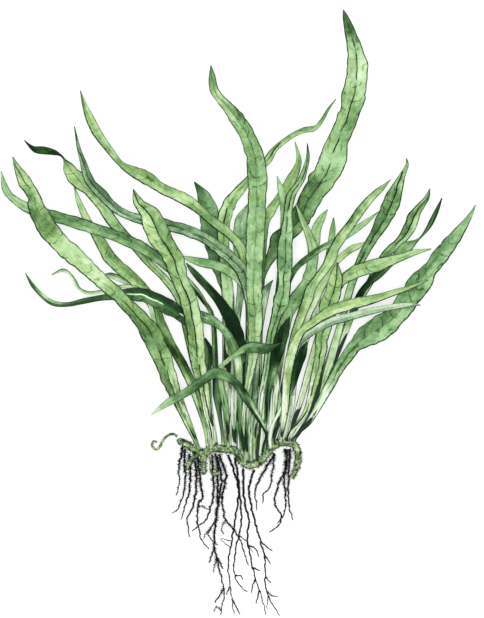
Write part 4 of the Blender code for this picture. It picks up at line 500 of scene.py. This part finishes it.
def smooth_path(points, step):
    """Points about step millimetres apart along a smooth curve through the given ones."""
    padded = [points[0], *points, points[-1]]
    dense = []
    for start in range(len(points) - 1):
        for sample in range(SPLINE_SAMPLES):
            dense.append(between(*padded[start:start + 4], sample / SPLINE_SAMPLES))
    dense.append(tuple(points[-1]))
    travelled = [0.0]
    for before, after in zip(dense, dense[1:]):
        travelled.append(travelled[-1] + math.dist(before[:3], after[:3]))
    count = max(4, round(travelled[-1] / step))
    path = []
    place = 0
    for index in range(count + 1):
        goal = travelled[-1] * index / count
        while place < len(dense) - 2 and travelled[place + 1] < goal:
            place += 1
        gap = travelled[place + 1] - travelled[place]
        share = (goal - travelled[place]) / gap if gap else 0.0
        path.append(tuple(a + (b - a) * share for a, b in zip(dense[place], dense[place + 1])))
    return path, travelled[-1]


def directions_at(path, index):
    """Along a path at one of its points, level across it there, and square to both."""
    before = Vector(path[max(0, index - 1)][:3])
    after = Vector(path[min(len(path) - 1, index + 1)][:3])
    along = (after - before).normalized()
    across = along.cross(UP).normalized()
    return along, across, across.cross(along)


def stepped(points, value):
    """value read off a list of (place, amount) pairs, straight between them."""
    for (place, amount), (next_place, next_amount) in zip(points, points[1:]):
        if value <= next_place:
            share = (value - place) / (next_place - place)
            return amount + (next_amount - amount) * share
    return points[-1][1]


def digit_at(digits, place):
    """The amount at a place in a row of digits, straight between two of them."""
    return stepped(list(enumerate(map(int, digits))), place)


def foot_of(x, angle, gap):
    """Where a stalk leaves the rhizome at x: gap off its surface, at an angle round it from its top."""
    line = RHIZOME_LEFT[:-1] + RHIZOME_MAIN[2:-3]
    for (x_0, y_0, r_0), (x_1, y_1, r_1) in zip(line, line[1:]):
        if x_0 <= x <= x_1:
            share = (x - x_0) / (x_1 - x_0)
            y = y_0 + (y_1 - y_0) * share
            slope = math.atan2(y_1 - y_0, x_1 - x_0)
            reach = r_0 + (r_1 - r_0) * share + gap
            turned = math.radians(angle)
            up = reach * math.cos(turned)
            return (
                x - up * math.sin(slope),
                y + up * math.cos(slope),
                RHIZOME_HEIGHT + reach * math.sin(turned),
            )
    raise ValueError(f"no rhizome at x = {x}")


def blade_share(width):
    """0 on the stalk and 1 on the full blade."""
    share = (width - STALK_ENDS) / (BLADE_BEGINS - STALK_ENDS)
    share = min(1.0, max(0.0, share))
    return share * share * (3 - 2 * share)


def slant(along):
    """How much narrower a leaf is across its own line than it was read, level or upright."""
    return max(abs(along.x), abs(along.y)) / math.hypot(along.x, along.y)


def sways(seed, lengths):
    """A smooth wandering amount from -1 to 1, made of waves of the given lengths."""
    chance = random.Random(seed)
    waves = [(2 * math.pi / length, chance.uniform(0, 2 * math.pi)) for length in lengths]

    def amount(place):
        return sum(math.sin(pace * place + phase) for pace, phase in waves) / len(waves)

    return amount


def scallops(seed, spacing):
    """From -0.5 at sharp nicks to 0.5 between them, at uneven places about spacing millimetres apart."""
    chance = random.Random(seed)
    shift = chance.uniform(0, spacing)
    drift = sways(f"{seed} drift", (spacing * 1.7, spacing * 2.9))
    depth = sways(f"{seed} depth", (spacing * 1.3, spacing * 2.3))

    def amount(place):
        turn = math.pi * (place + shift + 0.8 * spacing * drift(place)) / spacing
        return (abs(math.sin(turn)) ** 0.6 - 0.5) * (0.55 + 0.75 * depth(place))

    return amount


def join_rings(faces, start, around, rings):
    """Faces between rings of points, one ring after another, with a face across each end."""
    for level in range(rings - 1):
        for side in range(around):
            a = start + level * around + side
            b = start + level * around + (side + 1) % around
            faces.append((a, b, b + around, a + around))
    end = start + (rings - 1) * around
    faces.append(tuple(range(start, start + around))[::-1])
    faces.append(tuple(range(end, end + around)))


def add_to_scene(name, data, place=(0, 0, 0)):
    added = bpy.data.objects.new(name, data)
    added.location = place
    bpy.context.scene.collection.objects.link(added)
    return added


def place_piece(name, vertices, faces, values, material, node):
    """A closed mesh in place of a solid node, with its named values at each point."""
    mesh = bpy.data.meshes.new(name)
    mesh.from_pydata([tuple(c * MM for c in v) for v in vertices], [], faces)
    for key, triples in values.items():
        layer = mesh.attributes.new(key, "FLOAT_VECTOR", "POINT")
        layer.data.foreach_set("vector", [number for triple in triples for number in triple])
    shaped = bmesh.new()
    shaped.from_mesh(mesh)
    bmesh.ops.recalc_face_normals(shaped, faces=shaped.faces)
    shaped.to_mesh(mesh)
    shaped.free()
    mesh.shade_smooth()
    mesh.materials.append(material)
    piece = add_to_scene(name, mesh)
    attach(piece, "root")
    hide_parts(node)


def build_leaf(number, name, leaf):
    """A thin wavy blade on its stalk, with what its paint needs to know at each point."""
    inner = (*foot_of(*leaf.foot, -STALK_DEPTH), STALK_WIDTH)
    foot = (*foot_of(*leaf.foot, JOINT_GAP + STALK_THICKNESS / 2), STALK_WIDTH)
    keyed = [(*point, index) for index, point in enumerate([foot, *points_of(leaf.route)])]
    path, length = smooth_path(keyed, LEAF_STEP)
    path.insert(0, (*inner, 0))
    stations = len(path)
    turns = TWISTS.get(name) or [(0, leaf.roll[0]), (1, leaf.roll[1])]
    ribs = RIBS.get(name, EVEN_RIB)
    ruffle = {hand: sways(f"{name} ruffle {hand}", RUFFLE_LENGTHS) for hand in LEFT_AND_RIGHT}
    outline = {hand: sways(f"{name} outline {hand}", OUTLINE_LENGTHS) for hand in LEFT_AND_RIGHT}
    lobes = {hand: scallops(f"{name} lobes {hand}", LOBE_LENGTH) for hand in LEFT_AND_RIGHT}
    buckle = sways(f"{name} buckle", BUCKLE_LENGTHS)
    height, wave_length = leaf.wave
    left_line, right_line, rib_line = leaf.lines
    vertices = []
    values = {"place": [], "margin": [], "marks": [], "paint": []}
    for station, (x, y, z, width, key) in enumerate(path):
        along, across, facing = directions_at(path, station)
        share = max(0, station - 1) / (stations - 2)
        travelled = share * length
        roll = math.radians(stepped(turns, share))
        across, facing = (
            across * math.cos(roll) + facing * math.sin(roll),
            facing * math.cos(roll) - across * math.sin(roll),
        )
        width *= slant(along)
        half = width / 2 / max(LEAST_FACING, abs(math.cos(roll)))
        spread = blade_share(width)
        thickness = STALK_THICKNESS + (BLADE_THICKNESS - STALK_THICKNESS) * spread
        left_tone = digit_at(leaf.left, key)
        right_tone = digit_at(leaf.right, key)
        rib_share = digit_at(ribs, key) / PALEST
        halves = {
            hand: half + spread * (
                (0.12 + 0.035 * half) * outline[hand](travelled)
                + (0.15 + 0.11 * half) * lobes[hand](travelled))
            for hand in LEFT_AND_RIGHT
        }
        upper = []
        lower = []
        for side in ACROSS:
            hand = 1 if side > 0 else -1
            size = abs(side)
            phase = 2 * math.pi * share * length / wave_length + side * MARGIN_LAG
            lift = CHANNEL * width + height * math.sin(phase)
            lift += RUFFLE_HEIGHT * ruffle[hand](travelled) * size
            lift = spread * (lift * size ** CUPPING + BUCKLE_HEIGHT * buckle(travelled + 4 * side))
            rounding = math.sqrt(max(0.0, 1 - size ** (2 + 6 * spread)))
            rib = spread * max(0.0, 1 - size / RIB_SHARE)
            reach = halves[hand] * side
            centre = Vector((x, y, z)) + across * reach + facing * lift
            over = rounding * thickness / 2 - RIB_GROOVE * rib
            under = rounding * thickness / 2 + RIB_RIDGE * rib
            upper.append((centre + facing * over, side, reach))
            lower.append((centre - facing * under, side, reach))
        for point, side, reach in upper + lower[-2:0:-1]:
            vertices.append(point)
            rightward = 0.5 + 0.5 * max(-1.0, min(1.0, side / MIDDLE_BLEND))
            tone = left_tone + (right_tone - left_tone) * rightward
            values["place"].append((reach, travelled, number * NOISE_APART))
            values["margin"].append((reach + halves[-1], halves[1] - reach, half))
            values["marks"].append((left_line, right_line, rib_line * rib_share))
            values["paint"].append((tone / PALEST, leaf.tint / PALEST, spread))
    faces = []
    join_rings(faces, 0, 2 * len(ACROSS) - 2, stations)
    blade_name = name.replace("leaf_", "blade_")
    place_piece(blade_name, vertices, faces, values, leaf_material(leaf.slot), name)


def ring_rows(path, sides, radius_of):
    """Rows of points round a path of x, y, z and radius, and the directions they stand in."""
    rows = []
    for index, (x, y, z, radius) in enumerate(path):
        along, across, facing = directions_at(path, index)
        row = []
        for side in range(sides):
            turn = 2 * math.pi * side / sides
            outward = across * math.cos(turn) + facing * math.sin(turn)
            row.append((Vector((x, y, z)) + outward * radius_of(index, turn, radius), outward, along))
        rows.append(row)
    return rows


def cap_row(row, shift):
    """A smaller row, which rounds the end of a tube off."""
    middle = sum((point for point, outward, along in row), Vector()) / len(row)
    radius = (row[0][0] - middle).length
    return [
        (middle + (point - middle) * CAP_SHRINK + along * (shift * radius), outward, along)
        for point, outward, along in row
    ]


def add_tube(vertices, faces, rows, rounded):
    """Joins rows of points into a tube, closed at each end."""
    if rounded:
        rows = [cap_row(rows[0], -CAP_SHIFT), *rows, cap_row(rows[-1], CAP_SHIFT)]
    join_rings(faces, len(vertices), len(rows[0]), len(rows))
    for row in rows:
        vertices.extend(point for point, outward, along in row)


def add_hair(vertices, faces, base, direction, bend, length, thickness):
    """A thin bent spike with three sides and a closed base."""
    start = len(vertices)
    direction = direction.normalized()
    side = direction.cross(bend).normalized()
    if side.length < 0.5:
        side = direction.orthogonal().normalized()
    other = direction.cross(side)
    middle = base + direction * (length * HAIR_BEND)
    tip = middle + (direction + bend).normalized() * (length * (1 - HAIR_BEND))
    tip.z = max(tip.z, TIP_CLEARANCE)
    for centre, radius in ((base, thickness), (middle, thickness * HAIR_TAPER)):
        for turn in THIRDS_OF_TURN:
            place = centre + side * (radius * math.cos(turn)) + other * (radius * math.sin(turn))
            place.z = max(place.z, HAIR_CLEARANCE)
            vertices.append(place)
    vertices.append(tip)
    for turn in range(3):
        a = start + turn
        b = start + (turn + 1) % 3
        faces.append((a, b, b + 3, a + 3))
        faces.append((a + 3, b + 3, start + 6))
    faces.append((start + 2, start + 1, start))


def add_hairs(vertices, faces, rows, chance, hairs):
    """Hairs all over a tube, each on a side picked by chance."""
    carried = 0.0
    for number, (row, next_row) in enumerate(zip(rows, rows[1:])):
        left = 1 - hairs.ebb * number / len(rows)
        carried += (next_row[0][0] - row[0][0]).length / hairs.spacing
        while carried > 0:
            carried -= 1
            point, outward, along = chance.choice(row)
            slide = chance.random()
            base = point + (next_row[0][0] - row[0][0]) * slide - outward * HAIR_SINK
            lean = outward + along * chance.uniform(-0.3, 0.9)
            bend = along * chance.uniform(-0.4, 0.8) + Vector((
                chance.uniform(-0.5, 0.5), chance.uniform(-0.5, 0.5), -hairs.droop))
            length = hairs.length * left * chance.uniform(0.45, 1.0)
            add_hair(vertices, faces, base, lean, bend, length, hairs.thickness * chance.uniform(0.7, 1.1))


def build_hairy(node, tubes, rounded, hairs, material):
    """Tubes with hairs all over them, as one piece. Its tone is 0 on the skin and 1 on the hairs."""
    chance = random.Random(node)
    vertices = []
    faces = []
    for rows in tubes:
        add_tube(vertices, faces, rows, rounded)
    skin = len(vertices)
    for rows in tubes:
        add_hairs(vertices, faces, rows, chance, hairs)
    tone = [(float(index >= skin), 0, 0) for index in range(len(vertices))]
    place_piece(f"{node}_hairy", vertices, faces, {"tone": tone}, material, node)


def rhizome_arm(number, line):
    """One arm of the rhizome, swelling and lumpy along its way."""
    points = [(x, y, RHIZOME_HEIGHT, radius) for x, y, radius in line]
    swell = sways(f"rhizome {number}", SWELL_LENGTHS)
    lumps = sways(f"rhizome lumps {number}", LUMP_LENGTHS)

    def radius_of(index, turn, radius):
        place = index * RHIZOME_STEP
        lump = 0.05 * math.sin(3 * turn + place * 1.7) + 0.04 * lumps(place + 2.2 * turn)
        return radius * (0.98 + 0.05 * swell(place) + lump)

    return ring_rows(smooth_path(points, RHIZOME_STEP)[0], RHIZOME_SIDES, radius_of)


def build_rhizome():
    arms = [rhizome_arm(number, line)
            for number, line in enumerate((RHIZOME_MAIN, RHIZOME_LEFT, RHIZOME_SHORT_TIP))]
    build_hairy("rhizome", arms, True, RHIZOME_HAIRS, rhizome_material())


def build_frond(name, points):
    bumps = sways(name, BUMP_LENGTHS)
    rows = ring_rows(smooth_path(points, FROND_STEP)[0], FROND_SIDES,
                     lambda index, turn, radius: radius * (1 + 0.08 * bumps(index * FROND_STEP)))
    build_hairy(name, [rows], True, FROND_HAIRS, rhizome_material())


def thinned(points, radius, tip_radius):
    """The points with a radius each, which shrinks evenly to the tip's."""
    last = len(points) - 1
    return [(*point, radius + (tip_radius - radius) * index / last) for index, point in enumerate(points)]


def rootlet_line(path, outline):
    """A rootlet in space. It starts on its root's own line and sinks to the table."""
    start = min(path, key=lambda place: math.dist(place[:2], outline[0]))
    last = len(outline) - 1
    line = [tuple(start[:3])]
    for index, (x, y) in enumerate(outline[1:], 1):
        line.append((x, y, start[2] + (RESTING_HEIGHT - start[2]) * index / last))
    return line


def root_strand(path, name):
    """A rough root or rootlet that wanders a little about its path."""
    wander = sways(f"{name} wander", WANDER_LENGTHS)
    rough = sways(f"{name} rough", ROUGH_LENGTHS)
    moved = []
    for index, (x, y, z, radius) in enumerate(path):
        ease = min(1.0, index / 6)
        place = index * ROOT_STEP
        x += ROOT_WANDER * ease * wander(place)
        moved.append((x, y, z + 0.1 * ease * wander(place + 30), radius))
    return ring_rows(moved, ROOT_SIDES, lambda index, turn, radius: radius * (
        0.98 + ROOT_ROUGHNESS * rough(index * ROOT_STEP) + 0.08 * math.sin(2 * turn + index * 0.9)))


def build_root(name, points):
    line = thinned(points, ROOT_RADIUS, ROOT_TIP_RADIUS * TIP_THINNING)
    path = smooth_path(line, ROOT_STEP)[0]
    strands = [root_strand(path, name)]
    branches = [(outline, ROOTLET_RADIUS, ROOTLET_TIP_RADIUS) for outline in ROOTLETS.get(name, [])]
    branches += [(outline, FINE_RADIUS, FINE_TIP_RADIUS) for outline in FINE_ROOTLETS.get(name, [])]
    for number, (outline, radius, tip_radius) in enumerate(branches):
        line = thinned(rootlet_line(path, points_of(outline)), radius, tip_radius)
        strands.append(root_strand(smooth_path(line, ROOT_STEP)[0], f"{name} {number}"))
    hairs = SHORT_ROOT_HAIRS if SPARSE_FROM < points[0][0] < SPARSE_TO else ROOT_HAIRS
    build_hairy(name, strands, False, hairs, root_material())


def screen_colour(channels):
    """The paint that looks like this screen colour, from 0 to 255, in this studio's light."""
    shares = [channel / 255 for channel in channels]
    return (*[share / 12.92 if share <= 0.04045 else ((share + 0.055) / 1.055) ** 2.4
              for share in shares], 1)


class Value:
    """What a shader node gives from place to place. It can be reckoned with like a number."""

    def __init__(self, nodes, socket):
        self.nodes = nodes
        self.socket = socket

    def maths(self, operation, other=0.0):
        return self.nodes.add("ShaderNodeMath", {0: self, 1: other}, operation=operation)

    def line(self, start, end):
        """1 where this is under start, falling to 0 at end."""
        return self.nodes.add("ShaderNodeMapRange", {
            "Value": self, "From Min": start, "From Max": end, "To Min": 1.0, "To Max": 0.0,
        }, interpolation_type="SMOOTHSTEP")


for method, operation in {
    "__add__": "ADD", "__sub__": "SUBTRACT", "__mul__": "MULTIPLY", "__truediv__": "DIVIDE",
    "__abs__": "ABSOLUTE", "at_least": "MAXIMUM", "at_most": "MINIMUM", "fraction": "FRACT",
}.items():
    setattr(Value, method, partialmethod(Value.maths, operation))


class Nodes:
    """A new material's shader nodes. What is put into one may be a Value, a number or a colour."""

    def __init__(self, name):
        self.material = bpy.data.materials.new(name)
        self.material.use_nodes = True
        self.tree = self.material.node_tree
        self.shader = self.tree.nodes["Principled BSDF"]

    def put(self, socket, value):
        if isinstance(value, Value):
            self.tree.links.new(value.socket, socket)
        else:
            socket.default_value = value

    def add(self, kind, inputs, output=0, **settings):
        """A new node with these inputs. Gives one of its outputs."""
        node = self.tree.nodes.new(kind)
        for key, value in settings.items():
            setattr(node, key, value)
        for socket, value in inputs.items():
            self.put(node.inputs[socket], value)
        return Value(self, node.outputs[output])

    def parts(self, attribute):
        """The three numbers of a mesh attribute."""
        read = self.add("ShaderNodeAttribute", {}, "Vector", attribute_name=attribute)
        split = self.add("ShaderNodeSeparateXYZ", {"Vector": read}).socket.node
        return [Value(self, output) for output in split.outputs]

    def place(self):
        return self.add("ShaderNodeTexCoord", {}, "Object")

    def upward(self, vector):
        return self.add("ShaderNodeSeparateXYZ", {"Vector": vector}, "Z")

    def vector(self, x, y, z):
        return self.add("ShaderNodeCombineXYZ", {"X": x, "Y": y, "Z": z})

    def noise(self, vector, scale, detail, output="Fac"):
        inputs = {"Vector": vector, "Scale": scale, "Detail": detail}
        return self.add("ShaderNodeTexNoise", inputs, output)

    def uneven(self, vector, scale, detail):
        """Noise about 0."""
        return self.noise(vector, scale, detail) - 0.5

    def warped(self, vector, scale, amount):
        """A place moved about by noise, so that what is drawn there has uneven shapes."""
        noise = self.noise(vector, scale, 2.0, "Color")
        middle = self.add("ShaderNodeVectorMath", {0: noise, 1: (0.5, 0.5, 0.5)}, operation="SUBTRACT")
        inputs = {0: middle, 1: (amount, amount, amount), 2: vector}
        return self.add("ShaderNodeVectorMath", inputs, operation="MULTIPLY_ADD")

    def ramp(self, value, colours):
        """Colours from the first at 0 to the last at 1."""
        painted = self.add("ShaderNodeValToRGB", {"Fac": value})
        stops = painted.socket.node.color_ramp.elements
        last = len(colours) - 1
        for index in range(1, last):
            stops.new(index / last)
        for stop, colour in zip(stops, colours):
            stop.color = screen_colour(colour)
        return painted

    def blend(self, share, first, second):
        return self.add("ShaderNodeMix", {0: share, 6: first, 7: second}, 2, data_type="RGBA")

    def finish(self, colour, roughness, specular, relief=None, strength=0.0, depth=0.0):
        """Gives the shader its colour and gloss, and where there is relief, bumps of this depth."""
        inputs = self.shader.inputs
        self.put(inputs["Base Color"], colour)
        self.put(inputs["Roughness"], roughness)
        self.put(inputs["Specular IOR Level"], specular)
        if relief is not None:
            bump = {"Strength": strength, "Distance": depth, "Height": relief}
            self.put(inputs["Normal"], self.add("ShaderNodeBump", bump, "Normal"))
        return self.material


@cache
def leaf_material(slot):
    """Leaf tissue: uneven green, with a net of fine veins, a dark line along its margins and black patches
    of painted shade on the low back stalks.
    """
    nodes = Nodes(f"{slot}_tissue")
    reach, travelled, seed = nodes.parts("place")
    from_left, from_right, half = nodes.parts("margin")
    left_line, right_line, rib_line = nodes.parts("marks")
    tone, tint, spread = nodes.parts("paint")
    flat = nodes.vector(reach, travelled, seed)
    stretched = nodes.vector(reach, travelled * 0.14, seed)
    warped = nodes.warped(flat, 0.35, 2.4)
    slow = nodes.uneven(flat, 0.09, 1.0)

    # Side veins bow from the midrib to the margins, broken here and there
    off_centre = reach / half.at_least(0.5)
    pace = travelled * ARCS_TO_MILLIMETRE + off_centre * off_centre * ARC_BOW
    pace += nodes.noise(flat, 0.11, 1.0) * ARC_WANDER
    band = pace.fraction() - 0.5
    arcs = abs(band).line(*ARC_LINE) * spread * nodes.noise(flat, 0.3, 1.0).line(0.55, 0.46)

    # The midrib and the margins are dark lines of uneven strength
    uneven = nodes.noise(stretched, 0.9, 2.0) * 1.8 + 0.25
    off_middle = abs(reach + nodes.uneven(flat, 0.12, 1.0) * 2.2)
    rib = off_middle.line(*RIB_LINE) * rib_line * slow.line(-0.04, -0.14)
    scale = (half / 2.4).at_least(0.32).at_most(1.0)
    ragged = nodes.uneven(flat, 0.9, 2.0) * 0.7
    left_edge, right_edge = [
        (distance / (scale * (strength * 0.55 + 0.55)) + ragged).line(*MARGIN_LINE) * strength
        for distance, strength in ((from_left, left_line), (from_right, right_line))
    ]
    margins = left_edge.at_least(right_edge) * uneven

    # Washes, blots, grain, fibres, cells and veins vary the tone, less so where it is dark
    cells = nodes.add("ShaderNodeTexVoronoi", {"Vector": warped, "Scale": 0.3, "Randomness": 1.0},
                      "Color", feature="SMOOTH_F1")
    fibres = nodes.uneven(stretched, 1.2, 2.0)
    total = nodes.uneven(flat, 0.12, 2.0) * 0.5
    for part, amount in (
        (nodes.uneven(warped, 0.45, 3.0), 0.36),
        (nodes.uneven(flat, 1.7, 3.0), 0.36),
        (fibres, 0.3),
        (nodes.add("ShaderNodeSeparateColor", {"Color": cells}) - 0.5, 0.16),
        (band, 0.05),
        (arcs, -0.27),
    ):
        total += part * amount
    total = total * (tone * 2.0 + 0.3).at_most(1.0) + tone * 1.07
    total += (total - 0.72).at_least(0.0) * -0.35

    # Near the rhizome the stalks pale in long patches, with dark strokes along them
    near_foot = travelled.line(*PALE_FOOT)
    strip = nodes.vector(reach * 0.7, travelled * 0.05, seed)
    total += nodes.noise(strip, 0.8, 1.0).line(0.56, 0.44) * near_foot * 0.36
    streak = nodes.vector(reach, travelled * 0.09 + 40.0, seed)
    strokes_and_shade = nodes.noise(streak, 1.0, 2.0).line(0.34, 0.41) * near_foot
    # Painted shade: the stalks at the back, low under the front ones, have long black patches higher up,
    # seen as slivers of shade between the front ones
    shade_zone = nodes.upward(nodes.place()).line(*SHADE_HEIGHT) * travelled.line(*SHADE_ALONG_STALKS)
    shade_patch = nodes.vector(reach * 0.6, travelled * 0.1, seed)
    strokes_and_shade = strokes_and_shade.at_least(nodes.noise(shade_patch, 0.55, 0.0).line(0.37, 0.40) * shade_zone)
    total += off_middle.line(*BESIDE_RIB) * rib_line * -0.06
    total += rib.at_most(0.0) * half.line(3.4, 2.0) * -0.9
    total = total.at_least(tone * 0.45)

    colour = nodes.blend(tint.line(0.05, 0.5), nodes.ramp(total, PLAIN), nodes.ramp(total, GREYED))
    to_yellow = (tint.line(1.0, 0.5) + slow * 1.6).at_least(0.0).at_most(1.0)
    colour = nodes.blend(to_yellow, colour, nodes.ramp(total, YELLOWED))
    # The ink lines, the strokes and the patches of painted shade are laid on in the one dark green
    ink_and_shade = margins.at_least(rib * uneven).at_least(strokes_and_shade).at_least(0.0).at_most(0.97)
    colour = nodes.blend(ink_and_shade, colour, screen_colour(INK_AND_SHADE_GREEN))
    gloss = nodes.noise(flat, 0.8, 2.0) * 0.25 + 0.5
    relief = fibres * 0.8 + arcs * -0.6 + abs(rib) * -0.8
    return nodes.finish(colour, gloss, 0.05, relief, 0.35, 0.0002)


@cache
def rhizome_material():
    """Mottled green skin with painted shade, darker towards its sides and underside, with dark fuzz."""
    nodes = Nodes("rhizome_skin")
    specks = nodes.noise(nodes.place(), 1500.0, 2.0)
    mottle_and_shade = (specks - 0.5) * 1.6 + 0.52 + nodes.uneven(nodes.place(), 420.0, 3.0) * 2.2
    # Painted shade: skin facing sideways or down, away from the light above, is painted darker
    facing_up = nodes.upward(nodes.add("ShaderNodeNewGeometry", {}, "Normal"))
    mottle_and_shade += facing_up.line(0.3, 0.75) * -0.4
    skin = nodes.ramp(mottle_and_shade, RHIZOME_SKIN)
    colour = nodes.blend(nodes.parts("tone")[0], skin, nodes.ramp(specks, RHIZOME_FUZZ))
    return nodes.finish(colour, 0.85, 0.2, mottle_and_shade, 0.5, 0.0002)


@cache
def root_material():
    """Nearly black skin with dark grey fuzz."""
    nodes = Nodes("root_skin")
    specks = nodes.noise(nodes.place(), 600.0, 3.0) * 2.0 - 0.55
    skin = nodes.ramp(specks, ROOT_SKIN)
    colour = nodes.blend(nodes.parts("tone")[0], skin, nodes.ramp(specks, ROOT_FUZZ))
    return nodes.finish(colour, 0.9, 0.15, specks, 0.5, 0.0001)


def build_table():
    """A plain pale table under the plant."""
    bpy.ops.mesh.primitive_plane_add(size=TABLE_SIZE)
    floor = bpy.context.object
    floor.name = "table_top"
    floor.location = (0, 0, -TABLE_DROP)
    nodes = Nodes("pale_table")
    grain = nodes.noise(nodes.place(), 300.0, 2.0)
    nodes.shader.inputs["Emission Color"].default_value = WHITE
    nodes.shader.inputs["Emission Strength"].default_value = TABLE_GLOW
    floor.data.materials.append(nodes.finish(nodes.blend(grain, DULL_TABLE, BRIGHT_TABLE), 0.9, 0.0))


def build_studio():
    """Soft light from all round, and a camera straight above."""
    bpy.context.scene.view_settings.view_transform = "Standard"
    world = bpy.data.worlds.new("studio")
    bpy.context.scene.world = world
    world.use_nodes = True
    backdrop = world.node_tree.nodes["Background"]
    backdrop.inputs["Color"].default_value = WHITE
    backdrop.inputs["Strength"].default_value = WORLD_STRENGTH

    for name, place, size, power in LIGHTS:
        data = bpy.data.lights.new(name, "AREA")
        data.shape = "SQUARE"
        data.size = size
        data.energy = power
        lamp = add_to_scene(name, data, place)
        lamp.rotation_euler = (-Vector(place)).to_track_quat("-Z", "Y").to_euler()

    eye = bpy.data.cameras.new("camera")
    eye.sensor_fit = "VERTICAL"
    eye.sensor_height = SENSOR_HEIGHT
    eye.lens = SENSOR_HEIGHT * (CAMERA_HEIGHT - FOCUS_HEIGHT) / PICTURE_HEIGHT
    eye.clip_end = CAMERA_REACH
    bpy.context.scene.camera = add_to_scene("camera", eye, (*PICTURE_CENTRE, CAMERA_HEIGHT))


def main():
    build_table()
    build_studio()
    for number, (name, leaf) in enumerate(LEAVES.items()):
        build_leaf(number, name, leaf)
    build_rhizome()
    for name, points in FRONDS.items():
        build_frond(name, points_of(points))
    for name, points in ROOTS.items():
        build_root(name, points_of(points))


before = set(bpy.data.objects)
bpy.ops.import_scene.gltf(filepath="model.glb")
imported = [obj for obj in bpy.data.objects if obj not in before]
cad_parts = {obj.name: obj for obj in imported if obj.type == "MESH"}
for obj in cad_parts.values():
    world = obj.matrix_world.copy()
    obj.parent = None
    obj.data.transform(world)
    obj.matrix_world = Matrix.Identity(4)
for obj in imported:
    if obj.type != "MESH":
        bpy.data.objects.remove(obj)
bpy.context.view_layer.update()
main()
